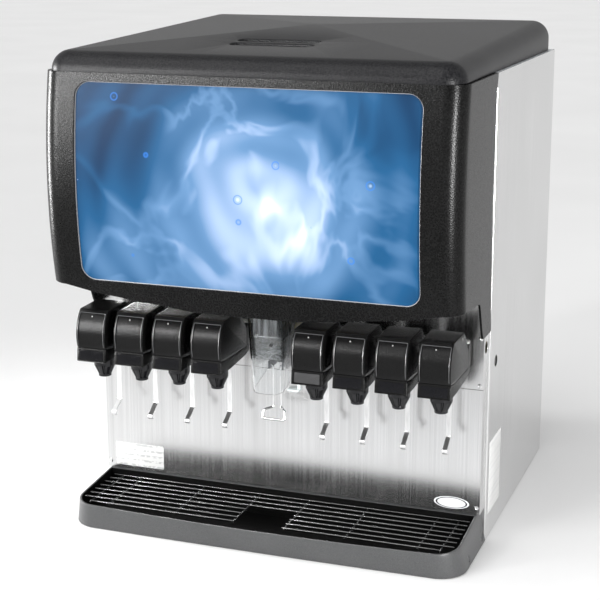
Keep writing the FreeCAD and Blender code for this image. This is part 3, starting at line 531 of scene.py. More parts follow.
# ---- carried-over CAD nodes ----
NODE_MATERIALS = {
    "wrapper": STEEL_UP, "base_pan": STEEL_UP, "splash_panel": STEEL_UP, "valve_panel": STEEL_UP,
    "light_box": ENAMEL_WHITE, "lamp_tubes": LAMP, "lampholders": WHITE, "control_box": ENAMEL_GREY,
    "bin_liner": LINER, "bin_insulation": FOAM, "cold_plate": CAST, "beverage_tubing": STEEL_WIRE_PAINTED_SHADE,
    "inlet_fittings": STEEL_WIRE_PAINTED_SHADE, "drain_lines": HOSE_GREY, "agitator": STEEL_WIRE_PAINTED_SHADE,
    "agitator_gearmotor": ENAMEL_GREY, "ice_gate": STEEL_UP, "gate_solenoid": ENAMEL_BLACK,
    "ice_chute": SMOKED, "ice_lever_bracket": ENAMEL_GREY, "mounting_blocks": WHITE,
    "valve_coils": ENAMEL_BLACK, "lever_pins": STEEL_WIRE_PAINTED_SHADE, "power_inlet": ENAMEL_BLACK,
}
EASED_NODES = {"wrapper": 0.35, "splash_panel": 0.5, "valve_panel": 0.5, "ice_chute": 0.6, "control_box": 0.8,
               "mounting_blocks": 0.8, "bin_liner": 1.2, "base_pan": 0.4, "power_inlet": 0.5,
               "agitator_gearmotor": 0.8, "ice_lever_bracket": 0.3}


def dress_nodes():
    for node, material in NODE_MATERIALS.items():
        obj = frame["nodes"][node]
        obj.data.materials.clear()
        obj.data.materials.append(material)
        if node in EASED_NODES:
            if "custom_normal" in obj.data.attributes:
                obj.data.attributes.remove(obj.data.attributes["custom_normal"])
            obj.data.polygons.foreach_set("use_smooth", [False] * len(obj.data.polygons))
            weld = obj.modifiers.new("weld", "WELD")
            weld.merge_threshold = 1e-5
            bevel(obj, EASED_NODES[node], 2, 45.0)


# ---- sign housing ----
BEZEL_LOW, BEZEL_HIGH = box_mm("bezel")
BEZEL_HALF, BEZEL_TOP, BEZEL_REAR = BEZEL_HIGH.x, BEZEL_HIGH.z, BEZEL_HIGH.y
BEZEL_WALL = 4.0
BEZEL_CORNER = 35.0
BOW_RADIUS = 1000.0
BOW_Z = 675.0
WINDOW_HALF = 312.0
WINDOW_Z = (494.0, 847.0)
WINDOW_CORNER = 27.0
CHIN = [(0, 450), (90, 450), (232, 464), (285, 470), (345, 482)]
CHIN_FOLDS = ((232, 466), (86, 489), (90, 450))
CHIN_LEAN = 6.0
FRONT_HALF = BEZEL_HALF - BEZEL_CORNER
LEG_Z = BEZEL_LOW.z
SIDE_LOW_Z, SIDE_FRONT_Y, SIDE_S_Y = 475.0, -336.0, -240.0   # lower edge of the housing's side, in front
CORNER_STEPS, UP_STEPS, ACROSS_STEPS = 5, 22, 120
CORNER_SHARE_UP, CORNER_SHARE_ACROSS = 0.09, 0.06            # part of a face side that a window corner takes
FACE_RINGS = (0, 0.03, 0.08, 0.14, 0.2, 0.28, 0.36, 0.45, 0.54, 0.63, 0.72, 0.81, 0.9, 1.0)
SIDE_STATIONS = (-336, -325, -310, -290, -270, -252, -240, -236, -232, -229, -226, -223, -220, -217, -214,
                 -211, -208, -205, -202, -199, -196, -188, -178, -168)
TOP_PLATE_GAP, TOP_PLATE_CORNER = 2.0, 34.0
SIGN_GAP, SIGN_THICK = 0.6, 3.0


def bow_y(z, inset=0.0):
    return BEZEL_LOW.y + BOW_RADIUS - math.sqrt((BOW_RADIUS - inset) ** 2 - (z - BOW_Z) ** 2)


def along(table, value):
    """Linear interpolation in a list of (value, result) pairs."""
    for (a, fa), (b, fb) in zip(table, table[1:]):
        if value <= b:
            return fa + (fb - fa) * (value - a) / (b - a)
    return table[-1][1]


def smooth(t):
    t = min(1.0, max(0.0, t))
    return t * t * (3 - 2 * t)


def chin_raise(x, z):
    """The chin's middle leans forward below the window, between two sloping three-cornered facets."""
    (ax, az), (bx, bz), (cx, cz) = CHIN_FOLDS
    below = (az - bz) * (abs(x) - bx) - (ax - bx) * (z - bz)
    facet = below / ((az - bz) * (cx - bx) - (ax - bx) * (cz - bz))
    return CHIN_LEAN * max(0.0, min(facet, (bz - z) / (bz - cz), 1.1))


def side_bottom(y):
    """Lower edge of the housing's side: level behind the front corner, then an S down to the leg."""
    if y < SIDE_S_Y:
        return SIDE_LOW_Z + 9.5 * (SIDE_S_Y - y) / (SIDE_S_Y - SIDE_FRONT_Y)
    return LEG_Z + (SIDE_LOW_Z - LEG_Z) * smooth((SIDE_S_Y + 43.0 - y) / 43.0)


def rear_edge(z):
    """Rear edge of the housing's side, drawn in toward the front at mid height."""
    t = (z - 635) / 227
    return BEZEL_REAR - 18 * max(0.0, 1 - t * t)


def half_corner_sides(count_corner, count_side):
    """Places along one side of a loop: half a corner, the side, half a corner."""
    corner = [i / count_corner for i in range(count_corner)]
    side = [i / count_side for i in range(count_side + 1)]
    return ([("a", t) for t in corner] + [("s", t) for t in side]
            + [("b", t) for t in [i / count_corner for i in range(1, count_corner + 1)]])


def window_side(k, place, grow):
    """Point (x, z) on side k of the window loop, grown outwards."""
    r = WINDOW_CORNER + grow
    x, z0, z1 = WINDOW_HALF + grow, WINDOW_Z[0] - grow, WINDOW_Z[1] + grow
    corners = [(x - r, z0 + r), (x - r, z1 - r), (-x + r, z1 - r), (-x + r, z0 + r)]
    start = -45 + 90 * k
    kind, t = place
    first, last = corners[k], corners[(k + 1) % 4]
    middle = math.radians(start + 45)
    if kind == "s":
        cx, cz = first[0] + (last[0] - first[0]) * t, first[1] + (last[1] - first[1]) * t
        return cx + r * math.cos(middle), cz + r * math.sin(middle)
    centre, angle = (first, start + 45 * t) if kind == "a" else (last, start + 45 + 45 * t)
    return centre[0] + r * math.cos(math.radians(angle)), centre[1] + r * math.sin(math.radians(angle))


def share(place, corner_share):
    """0 to 1 along a whole side of the housing face, with the window corner's part at each end."""
    kind, t = place
    if kind == "a":
        return corner_share * t
    return corner_share + (1 - 2 * corner_share) * t if kind == "s" else 1 - corner_share * (1 - t)


def face_outer(k, place):
    """Point (x, z) on the outer boundary of the front face that goes with a window point."""
    if k in (0, 2):
        t = share(place, CORNER_SHARE_UP)
        t = t if k == 0 else 1 - t
        low = along(CHIN, FRONT_HALF)
        x = FRONT_HALF if k == 0 else -FRONT_HALF
        return x, low + (BEZEL_TOP - low) * t
    t = share(place, CORNER_SHARE_ACROSS)
    x = FRONT_HALF - 2 * FRONT_HALF * t if k == 1 else -FRONT_HALF + 2 * FRONT_HALF * t
    return x, BEZEL_TOP if k == 1 else along(CHIN, abs(x))


def housing_side(sign):
    """Columns of points round a front corner and back along the side."""
    low = along(CHIN, FRONT_HALF)
    heights = [share(place, CORNER_SHARE_UP) for place in half_corner_sides(CORNER_STEPS, UP_STEPS)]

    def column(bottom, point):
        return [point(bottom + (BEZEL_TOP - bottom) * t) for t in heights]

    columns = [column(low, lambda z: (sign * FRONT_HALF, bow_y(z), z))]
    for step in range(1, 11):
        angle = math.radians(9 * step)
        x, back = FRONT_HALF + BEZEL_CORNER * math.sin(angle), BEZEL_CORNER * (1 - math.cos(angle))
        bottom = low + (side_bottom(SIDE_FRONT_Y) - low) * step / 10
        columns.append(column(bottom, lambda z: (sign * x, bow_y(z) + back, z)))
    for y in SIDE_STATIONS:
        columns.append(column(side_bottom(y), lambda z: (sign * BEZEL_HALF, y, z)))
    columns.append(column(side_bottom(BEZEL_REAR), lambda z: (sign * BEZEL_HALF, rear_edge(z), z)))
    return columns


def bezel_mesh():
    shape = Shape()
    up = half_corner_sides(CORNER_STEPS, UP_STEPS)
    across = half_corner_sides(CORNER_STEPS, ACROSS_STEPS)
    places = [(k, p) for k in range(4) for p in (up if k in (0, 2) else across)[:-1]]
    rings = []
    for t in FACE_RINGS:
        ring = []
        for k, place in places:
            wx, wz = window_side(k, place, 0.0)
            ox, oz = face_outer(k, place)
            x, z = wx + (ox - wx) * t, wz + (oz - wz) * t
            ring.append((x, bow_y(z) - chin_raise(x, z), z))
        rings.append(ring)
    shape.loft(rings, caps=(False, False))
    for sign in (-1, 1):
        shape.loft(housing_side(sign), closed=False)
    return shape.mesh("bezel_shell", angle=30, outward=(0, -1, 0))


def build_bezel():
    shell = piece("bezel_shell", bezel_mesh(), "cabinet", BLACK_GRAIN, ["bezel"])
    wall = shell.modifiers.new("wall", "SOLIDIFY")
    wall.thickness, wall.offset, wall.use_even_offset = BEZEL_WALL * MM, -1, True
    bevel(shell, 1.1, 3, 50.0)
    half, front, rear = BEZEL_HALF - TOP_PLATE_GAP, bow_y(BEZEL_TOP) + 1.5, BEZEL_REAR - 1
    right = arc_points((half - TOP_PLATE_CORNER, front + TOP_PLATE_CORNER), TOP_PLATE_CORNER, 0, -90, 10)
    plan = [(half, rear)] + right + [(-x, y) for x, y in reversed(right)] + [(-half, rear)]
    top = Shape()
    slab(top, plan, BEZEL_TOP - BEZEL_WALL, BEZEL_TOP - 0.4)
    piece("bezel_top", top.mesh("bezel_top"), "cabinet", BLACK_GRAIN)


def build_sign():
    shape = Shape()
    half, z0, z1 = WINDOW_HALF + 9, WINDOW_Z[0] - 7, WINDOW_Z[1] + 8
    heights = [z0 + (z1 - z0) * i / 28 for i in range(29)]
    across = [half * (2 * j / 24 - 1) for j in range(25)]
    front, back = BEZEL_WALL + SIGN_GAP, BEZEL_WALL + SIGN_GAP + SIGN_THICK
    for inset, flip in ((front, 1), (back, -1)):
        shape.loft([[(flip * x, bow_y(z, inset), z) for x in across] for z in heights], closed=False)
    for x in (-half, half):
        shape.loft([[(x, bow_y(z, front), z), (x, bow_y(z, back), z)] for z in heights], closed=False)
    for z in (z0, z1):
        shape.loft([[(x, bow_y(z, inset), z) for x in across] for inset in (front, back)], closed=False)
    piece("sign_sheet", shape.mesh("sign_sheet"), "cabinet", SIGN, ["sign_panel"])
    # Lip round the sign; its light grey is a painted highlight on its edges.
    gasket = Shape()
    up, across = half_corner_sides(8, 10), half_corner_sides(8, 16)
    places = [(k, p) for k in range(4) for p in (up if k in (0, 2) else across)[:-1]]
    loops = []
    for grow, depth in ((1.5, 3.2), (-0.6, 3.0), (-1.6, 3.6), (-1.6, 4.5)):
        ring = [window_side(k, p, grow) for k, p in places]
        loops.append([(x, bow_y(z) + depth, z) for x, z in ring])
    gasket.loft(loops, caps=(False, False))
    piece("sign_gasket", gasket.mesh("sign_gasket"), "cabinet", GASKET_PAINTED_HIGHLIGHT)


# ---- lid ----
LID_LOW, LID_HIGH = box_mm("lid")
LID_SKIRT = 862.3
LID_ROUND = 34.0
LID_CORNER = 40.0
LID_WALL = 4.0
LID_RIM = (897.0, 921.0)
LID_APEX = (-14.5, LID_HIGH.z)
LID_Y = (LID_LOW.y, LID_HIGH.y)
SLOT_Y = (-238.5, -200.5)
SLOT_HALF = 77.5
SLOT_R = 13.0
SLOT_FLOOR = 885.0
GRIP_HALF, GRIP_MARGIN, GRIP_Z = 94.0, 19.0, (879.0, 896.0)
LOCATING_HALF, LOCATING_Y, LOCATING_Z = 332.0, (-96.0, 344.0), (848.0, 896.0)
LOCATING_WALL, LOCATING_CORNER = 4.0, 20.0
FACET_STEPS = [0.12, 0.28, 0.46, 0.64, 0.82]
LID_SIDE_STEPS = 14
LID_CORNER_STEPS = 11


def rim_height(y):
    t = (y - LID_Y[0] - LID_ROUND) / (LID_Y[1] - LID_Y[0] - 2 * LID_ROUND)
    return LID_RIM[0] + (LID_RIM[1] - LID_RIM[0]) * t


def lid_outline(inset):
    radius = max(LID_CORNER - inset, 8.0)
    return rounded_rect((LID_LOW.x + inset, LID_HIGH.x - inset), (LID_Y[0] + inset, LID_Y[1] - inset),
                        radius, LID_SIDE_STEPS, LID_CORNER_STEPS)


def lid_level(inset, height):
    """The outline at an inset, its height given by a function of y."""
    return [(x, y, height(y)) for x, y in lid_outline(inset)]


def lid_dome(inset, radius, drop):
    """Levels of the rounded shoulder, from the skirt up to the rim of the facets."""
    levels = []
    for step in range(11):
        angle = math.radians(9 * step)
        down = drop + radius * (1 - math.sin(angle))
        levels.append(lid_level(inset + radius * (1 - math.cos(angle)), lambda y: rim_height(y) - down))
    return levels


def front_plane(y):
    t = (y - LID_Y[0] - LID_ROUND) / (LID_APEX[0] - LID_Y[0] - LID_ROUND)
    return LID_RIM[0] + (LID_APEX[1] - LID_RIM[0]) * t


def slot_walls(y):
    """Levels of one hand slot, from the eased edge in the front facet to its floor."""
    def ring(grow):
        return capsule_outline(0, y, SLOT_HALF + grow, SLOT_R + grow)

    edge = [[(px, py, front_plane(py) - sink) for px, py in ring(grow)]
            for grow, sink in ((2.2, 0.0), (1.2, 0.35), (0.4, 1.1), (0.0, 2.4))]
    foot = [[(px, py, SLOT_FLOOR + rise) for px, py in ring(grow)]
            for grow, rise in ((-0.4, 3), (-1.4, 0.8), (-3.0, 0.0))]
    return edge + foot


def fill_flat(shape, outlines):
    """Fills the area between a border and the holes in it."""
    bm = bmesh.new()
    for outline in outlines:
        made = [bm.verts.new(point) for point in outline]
        for a, b in zip(made, made[1:] + made[:1]):
            bm.edges.new((a, b))
    bmesh.ops.triangle_fill(bm, use_beauty=True, use_dissolve=False, edges=bm.edges, normal=(0, 0, 1))
    first = len(shape.verts)
    bm.verts.index_update()
    shape.verts += [tuple(v.co) for v in bm.verts]
    shape.faces += [tuple(first + v.index for v in face.verts) for face in bm.faces]
    bm.free()


def lid_mesh():
    """Skirt, round shoulder and a hipped top of four facets, with a wall all round."""
    shape = Shape()
    skirt = [lid_level(LID_WALL, lambda y: LID_SKIRT + 0.9), lid_level(LID_WALL - 0.9, lambda y: LID_SKIRT),
             lid_level(1.0, lambda y: LID_SKIRT), lid_level(0.3, lambda y: LID_SKIRT + 0.3),
             lid_level(0.0, lambda y: LID_SKIRT + 1.0)]
    rows = shape.loft(skirt + lid_dome(0.0, LID_ROUND, 0.0), caps=(False, False))
    top = rows[-1]
    apex = Vector((0, LID_APEX[0], LID_APEX[1]))
    count = len(top)
    # the outline starts at the front right corner; the front side is the last run of points
    front_first = count - LID_SIDE_STEPS
    previous = top
    for t in FACET_STEPS:
        ring = shape.loop([Vector(shape.verts[i]).lerp(apex, t) for i in top])
        for i in range(front_first):
            shape.faces.append((previous[i], previous[i + 1], ring[i + 1], ring[i]))
        previous = ring
    tip = shape.loop([apex])[0]
    shape.faces += [(previous[i], previous[i + 1], tip) for i in range(front_first)]
    inner = shape.loft(lid_dome(LID_WALL, LID_ROUND - LID_WALL, LID_WALL), caps=(False, False))
    shape.bridge(rows[0], inner[0])
    under = shape.loop([apex - Vector((0, 0, LID_WALL))])[0]
    shape.faces += [(inner[-1][i], inner[-1][(i + 1) % count], under) for i in range(count)]
    # the front facet is one flat area with the two hand slots let into it
    border = [Vector(shape.verts[top[i % count]]) for i in range(front_first - 1, count + 1)]
    right, left = border[-1], border[0]
    border += [right.lerp(apex, t) for t in FACET_STEPS] + [apex]
    border += [left.lerp(apex, t) for t in reversed(FACET_STEPS)]
    outlines = [border]
    for y in SLOT_Y:
        walls = slot_walls(y)
        shape.loft(walls, caps=(False, True))
        outlines.append(walls[0])
    fill_flat(shape, outlines)
    return shape.mesh("lid_shell", angle=32)


def build_lid():
    piece("lid_shell", lid_mesh(), "lid", LID_GRAIN, ["lid"])
    grip = Shape()
    plan = rounded_rect((-GRIP_HALF, GRIP_HALF), (SLOT_Y[0] - GRIP_MARGIN, SLOT_Y[1] + GRIP_MARGIN), 8)
    slab(grip, plan, *GRIP_Z, 1.5)
    piece("lid_grip", grip.mesh("lid_grip"), "lid", LID_GRAIN)
    locating = Shape()
    half, (y0, y1), wall = LOCATING_HALF, LOCATING_Y, LOCATING_WALL
    low, high = LOCATING_Z
    outer = rounded_rect((-half, half), LOCATING_Y, LOCATING_CORNER, 10, 8)
    inner = rounded_rect((wall - half, half - wall), (y0 + wall, y1 - wall), LOCATING_CORNER - 3, 10, 8)
    levels = [[(x, y, high) for x, y in outer], [(x, y, low + 0.6) for x, y in outer],
              [(x * 0.999, y, low) for x, y in outer], [(x, y, low) for x, y in inner],
              [(x, y, high) for x, y in inner]]
    rows = locating.loft(levels, caps=(False, False))
    locating.bridge(rows[-1], rows[0])
    piece("lid_locating_rim", locating.mesh("lid_locating_rim"), "lid", LID_GRAIN)


# ---- valves ----
VALVES = range(1, 9)
PLAIN_VALVE = 5                     # its band is plain grey
VALVE_HALF = 29.0
VALVE_BOTTOM = 325.0
COVER_FRONT = ((-323.5, 351.3), (-326.9, 380.0), (-307.5, 420.6))
COVER_TOP = 422.5
BORDER = 4.2
SUNK = 2.0
LEVER_Y, LEVER_Z = joint_point("cup_lever_1_hinge").y, joint_point("cup_lever_1_hinge").z
LEVER_HALF, LEVER_EYE, LEVER_BORE = 4.5, 4.5, 1.6
BUTTON_CENTRE = (0.0, -315.5, 409.5)
BAND_X, BAND_Z, BAND_LEAN = (-23.4, 23.4), (328.3, 346.2), 0.078
NOZZLE_LOW, NOZZLE_HIGH = box_mm("valve_nozzles")
NOZZLE_Y = (NOZZLE_LOW.y + NOZZLE_HIGH.y) / 2


def circle_through(a, b, c):
    """Centre and radius of the circle through three points."""
    d = 2 * (a[0] * (b[1] - c[1]) + b[0] * (c[1] - a[1]) + c[0] * (a[1] - b[1]))
    sa, sb, sc = (p[0] ** 2 + p[1] ** 2 for p in (a, b, c))
    u = (sa * (b[1] - c[1]) + sb * (c[1] - a[1]) + sc * (a[1] - b[1])) / d
    v = (sa * (c[0] - b[0]) + sb * (a[0] - c[0]) + sc * (b[0] - a[0])) / d
    return (u, v), math.dist((u, v), a)


def edge_stations(half):
    """Stations across a valve: eased outer edges, flat borders, steps and the sunk middle."""
    one = [half, half - 0.2, half - 0.7, half - 1.4, half - BORDER, half - BORDER - 0.9, 14.0, 0.0]
    return [-x for x in one] + one[-2::-1]


def edge_ease(x, half):
    """How far the outline is drawn in near a valve's outer faces, which rounds their edges."""
    out = max(0.0, abs(x) - (half - 1.4)) / 1.4
    return 1.4 * (1 - math.sqrt(max(0.0, 1 - out * out)))


def across_valve(profile, depth, name):
    """Carries a closed (y, z) outline across a valve; depth(x, k) sinks point k at station x."""
    count = len(profile)
    normals = []
    for k in range(count):
        run = (Vector(profile[(k + 1) % count]) - Vector(profile[k - 1])).normalized()
        normals.append(Vector((run.y, -run.x)))
    area = sum(a[0] * b[1] - b[0] * a[1] for a, b in zip(profile, profile[1:] + profile[:1]))
    sign = -1 if area > 0 else 1
    shape = Shape()
    shape.loft([[(x, y + sign * normals[k].x * depth(x, k), z + sign * normals[k].y * depth(x, k))
                 for k, (y, z) in enumerate(profile)] for x in edge_stations(VALVE_HALF)])
    return shape.mesh(name, angle=28)


def cover_face(t):
    """(y, z) of the bulged front, from its foot at t = 0 to its brow at t = 1."""
    (cy, cz), radius = circle_through(*COVER_FRONT)
    first, last = (math.atan2(z - cz, y - cy) % (2 * math.pi) for y, z in (COVER_FRONT[0], COVER_FRONT[2]))
    angle = first + (last - first) * t
    return cy + radius * math.cos(angle), cz + radius * math.sin(angle)


def bead_mesh():
    """Half-round bead that edges the sunk field: up one side, over the brow and down the other. Its light
    grey is a painted highlight on the field's edges.
    """
    side = VALVE_HALF - BORDER + 1.0
    rise = [cover_face(t / 20) for t in range(1, 19)]
    left = [Vector((-side, y + 0.35, z)) for y, z in rise]
    right = [Vector((side, y + 0.35, z)) for y, z in reversed(rise)]
    bead = Shape()
    wire_along(bead, bent_path(left + right, 2.0, 3), 0.75, 10, Vector((1, 0, 0)))
    return bead.mesh("valve_bead")


def cover_mesh():
    """Bulged front with a raised border round a sunk field, level top and chamfered rear."""
    front, sunk = [], []
    rise = [(0, 0), (0.05, 0), (0.09, 0.35), (0.15, 0.9), (0.22, SUNK)]
    field = [(0.32 + 0.1 * i, SUNK) for i in range(6)] + [(0.89, SUNK)]
    for t, depth in rise + field + [(0.905, 0), (0.93, 0), (0.955, 0)]:
        front.append(cover_face(t))
        sunk.append(depth)
    brow = [(-308.7, 419.7), (-307.2, 420.5), (-305.4, 420.9)]
    rest = [(-290, 421.2), (-262, 421.9), (-240, COVER_TOP), (-237.5, COVER_TOP - 0.2), (-235.6, 421.2),
            (-226, 415), (-223.4, 413), (-199.4, 381), (-198.6, 379), (-198.5, 347.4), (-199.1, 346.8),
            (-295.5, 346.8), (-322.5, 350.8)]

    def depth(x, k):
        inner = 1.0 if abs(x) < VALVE_HALF - BORDER - 0.5 else 0.0
        return (sunk[k] * inner if k < len(sunk) else 0.0) + edge_ease(x, VALVE_HALF)

    return across_valve(front + brow + rest, depth, "valve_cover")


def base_mesh():
    """Recess for the name band in front, lever slot below, mounting upright at the rear."""
    slot_y = (LEVER_Y - 12, LEVER_Y + 12)
    slot_half = 5.3
    front = [(-325.8, VALVE_BOTTOM), (-326.5, VALVE_BOTTOM + 0.7), (-326.2, VALVE_BOTTOM + 1.8),
             (-326.1, VALVE_BOTTOM + 2.4), (-324.6, 346.8), (-324.4, 347.4), (-324.0, 349.9), (-323.3, 350.5)]
    upright = [(-295.5, 346.2), (-199.0, 346.4), (-198.2, 347.2), (-198.2, 387.2), (-197.4, 388),
               (-186.8, 388), (-186, 387.2), (-186, 338), (-203, 331)]
    under = [(slot_y[1], 330.9)] * 2 + [(slot_y[0], 329.0)] * 2 + [(-280, VALVE_BOTTOM)]
    profile = front + upright + under
    roof = (len(front) + len(upright) + 1, len(front) + len(upright) + 2)
    slot_edges = [-slot_half - 0.01, -slot_half, slot_half, slot_half + 0.01]
    stations = sorted(edge_stations(VALVE_HALF) + slot_edges)
    shape, loops = Shape(), []
    for x in stations:
        ease = edge_ease(x, VALVE_HALF)
        loop = []
        for k, (y, z) in enumerate(profile):
            if k in roof and abs(x) <= slot_half:
                z = LEVER_Z + 6
            y += ease * (0.8 if y < -256 else -0.8)
            z += ease * (0.8 if z < 335 else -0.8)
            if k in (3, 4) and abs(x) < VALVE_HALF - BORDER - 0.5:
                y += 1.0
            loop.append((x, y, z))
        loops.append(loop)
    shape.loft(loops)
    return shape.mesh("valve_base", angle=28)


def nozzle_shape(shape, x):
    """Collar, funnel with deep flutes and a plain ring at the tip with a shallow recess."""
    tip, collar = NOZZLE_LOW.z, VALVE_BOTTOM + 0.6

    def ring(radius, z, flute):
        points = []
        for i in range(64):
            angle = 2 * math.pi * i / 64
            r = radius - (flute if i % 8 in (3, 4) else 0.0)
            points.append((x + r * math.cos(angle), NOZZLE_Y + r * math.sin(angle), z))
        return points

    levels = [(8.5, tip + 3, 0), (8.5, tip + 0.5, 0), (9.0, tip, 0), (11.4, tip, 0), (12.0, tip + 0.6, 0),
              (12.0, tip + 4.4, 0), (12.4, tip + 4.9, 0), (13.0, tip + 6.2, 2.2), (19.6, tip + 20.4, 2.6),
              (20.0, tip + 21.4, 2.6), (20.0, tip + 23.0, 2.6), (20.0, tip + 23.6, 0), (20.0, collar, 0)]
    shape.loft([ring(*level) for level in levels])


def screw_shape(shape, centre, axis, radius, sign=1.0):
    """Pan head with its drive recess as a shallow dish."""
    profile = [(radius, 0), (radius, 0.35), (radius * 0.93, 0.85), (radius * 0.72, 1.25),
               (radius * 0.42, 1.45), (radius * 0.36, 1.35), (radius * 0.2, 0.75), (0.0, 0.65)]
    turned(shape, centre, [(r, sign * h) for r, h in profile], axis, 20)


def button_mesh():
    shape = Shape()
    turned(shape, BUTTON_CENTRE, [(1.5, 1.2), (1.5, -0.6), (1.1, -1.1), (0.4, -1.2), (0, -1.2)], "y", 16)
    return shape.mesh("valve_button")


def band_mesh(name):
    """Name plate in the recess below the cover, leaning with the valve's front."""
    shape = Shape()
    slab(shape, rounded_rect(BAND_X, BAND_Z, 1.0, 4, 4), 0.0, 0.7, 0.25,
         lambda u, v, w: (u, -325.1 + (v - 328) * BAND_LEAN - w + 0.5, v))
    return shape.mesh(name)


def build_valves():
    cover, base, button, bead = cover_mesh(), base_mesh(), button_mesh(), bead_mesh()
    dark_band, plain_band = band_mesh("band_dark"), band_mesh("band_plain")
    nozzles = Shape()
    for i in VALVES:
        x = joint_point(f"cup_lever_{i}_hinge").x
        band, band_material = (plain_band, BAND_GREY) if i == PLAIN_VALVE else (dark_band, BAND_BLACK)
        piece(f"valve_cover_piece_{i}", cover, "cabinet", VALVE_BLACK, [f"valve_cover_{i}"], x)
        piece(f"valve_base_piece_{i}", base, "cabinet", VALVE_BLACK, [f"valve_body_{i}"], x)
        piece(f"valve_button_{i}", button, "cabinet", STEEL_BRIGHT, x=x)
        # the bead's grey is a painted highlight
        piece(f"valve_bead_{i}", bead, "cabinet", BEAD_PAINTED_HIGHLIGHT, x=x)
        piece(f"valve_band_{i}", band, "cabinet", band_material, x=x)
        nozzle_shape(nozzles, x)
    nozzle_mesh = nozzles.mesh("nozzles", angle=25)
    piece("nozzles", nozzle_mesh, "cabinet", NOZZLE_BLACK, ["valve_nozzles"])


def lever_mesh():
    """Strip with a hinge eye, a forward kick at the foot and a curled tip."""
    shape = Shape()
    y = LEVER_Y + 0.9
    path = bent_path([(0, y, LEVER_Z - 3), (0, y, 221), (0, y - 26.3, 204.2), (0, y - 27.2, 198.5),
                      (0, y - 21.5, 196.3)], 5.0, 6)
    w, t, e = LEVER_HALF, 0.9, 0.35
    section = [(w, -t + e), (w, t - e), (w - e, t), (-w + e, t),
               (-w, t - e), (-w, -t + e), (-w + e, -t), (w - e, -t)]
    sweep(shape, path, section)
    eye = [[(x, LEVER_Y + u, LEVER_Z + v) for u, v in ring_section(radius, 24)]
           for radius, x in ((LEVER_EYE, -w), (LEVER_EYE, w), (LEVER_BORE, w), (LEVER_BORE, -w))]
    rows = shape.loft(eye, caps=(False, False))
    shape.bridge(rows[-1], rows[0])
    return shape.mesh("cup_lever", angle=30)


def build_levers():
    mesh = lever_mesh()
    for i in VALVES:
        node = f"cup_lever_{i}"
        x = joint_point(f"{node}_hinge").x
        piece(f"lever_strip_{i}", mesh, node, STEEL_LEVER, [node], x)


# ---- ice chute and its lever ----
PANEL_FACE = box_mm("splash_panel")[0].y
CHUTE_FRONT = box_mm("ice_chute")[0].y
MOUTH_HALF, MOUTH_CORNER, MOUTH_REAR = 28.0, 4.0, -208.0
MOUTH_GAP = 0.1                     # between the mouth's collar and the chute inside it
CHUTE_SCREW = (7.5, CHUTE_FRONT - 1.4, 374.0)


def build_ice_lever():
    y, z = joint_point("ice_lever_hinge").y, joint_point("ice_lever_hinge").z
    half = [(-18, y, z), (-7.5, y, z), (-7.5, y, 241), (-20.5, y - 15, 239), (-22, y - 21, 223.5)]
    whole = half + [(-px, py, pz) for px, py, pz in reversed(half)]
    wire = Shape()
    wire_along(wire, bent_path(whole, 5.0, 6), 2.0)
    mesh = wire.mesh("ice_lever_wire")
    piece("ice_lever_wire", mesh, "ice_lever", STEEL_BRIGHT, ["ice_lever"])


def chute_cover_level(half, front, level, radius, sink):
    """Open U at one level, sloping down to the front at its lower end."""
    rear = PANEL_FACE - 0.1
    side = [rear + (front + radius - rear) * i / 4 for i in range(4)]
    points = [(-half, y) for y in side]
    points += arc_points((-half + radius, front + radius), radius, 180, 270, 9)
    points += arc_points((half - radius, front + radius), radius, 270, 360, 9)
    points += [(half, y) for y in reversed(side)]
    return [(x, y, level + sink * (y - front) / (rear - front)) for x, y in points]


def build_chute_cover():
    levels = [(30.1, -277.4, 283.5, 20.6, 26), (31.4, -279.4, 306, 21.8, 16), (33.2, -282.0, 336, 23.7, 6),
              (35.0, -284.5, 366, 25.5, 0), (36.5, -286.8, 400, 26.8, 0), (38.0, -289, 433.5, 28, 0)]
    cover = Shape()
    cover.loft([chute_cover_level(*level) for level in levels], closed=False)
    mesh = cover.mesh("chute_cover_shell", outward=(0, -1, 0))
    obj = piece("chute_cover_shell", mesh, "cabinet", CLEAR, ["chute_cover"])
    wall = obj.modifiers.new("wall", "SOLIDIFY")
    wall.thickness, wall.offset = 2.5 * MM, -1
    bevel(obj, 0.7, 3, 50.0)


def mouth_u(grow):
    """A U that opens to the rear, from its left end to its right end."""
    centre = MOUTH_HALF - MOUTH_CORNER
    bends = arc_points((-centre, CHUTE_FRONT + MOUTH_CORNER), MOUTH_CORNER + grow, 180, 270, 6)
    bends += arc_points((centre, CHUTE_FRONT + MOUTH_CORNER), MOUTH_CORNER + grow, 270, 360, 6)
    return [(-MOUTH_HALF - grow, MOUTH_REAR)] + bends + [(MOUTH_HALF + grow, MOUTH_REAR)]


def build_chute_mouth():
    collar = Shape()
    inside = list(reversed(mouth_u(MOUTH_GAP)))
    collar.loft([[(u, v, level) for u, v in mouth_u(grow) + inside] for level, grow in (
        (347.0, 0.4), (347.6, 1.2), (384.0, 1.8), (386.2, 3.0), (388.0, 3.0), (388.8, 1.6))])
    piece("chute_mouth", collar.mesh("chute_mouth"), "cabinet", CLEAR)
    bolt = Shape()
    turned(bolt, CHUTE_SCREW, [(3.4, 0.6), (3.4, -0.8), (2.6, -1.5), (1.6, -1.6), (1.4, -0.9), (0, -0.8)],
           "y", 20)
    piece("chute_screw", bolt.mesh("chute_screw"), "cabinet", DARK_STEEL)


def build_water_tab():
    tab = Shape()
    low, high = box_mm("water_tab")
    slab(tab, rounded_rect((low.x, high.x), (low.y, high.y), 3.2), low.z, low.z + 3.5, 0.7)
    stem = rounded_rect((low.x + 17, high.x), (low.y + 7, high.y - 7), 0.8, 2, 4)
    slab(tab, stem, low.z + 3, high.z, 0.3)
    piece("water_tab_piece", tab.mesh("water_tab_piece"), "water_tab", TAB, ["water_tab"])


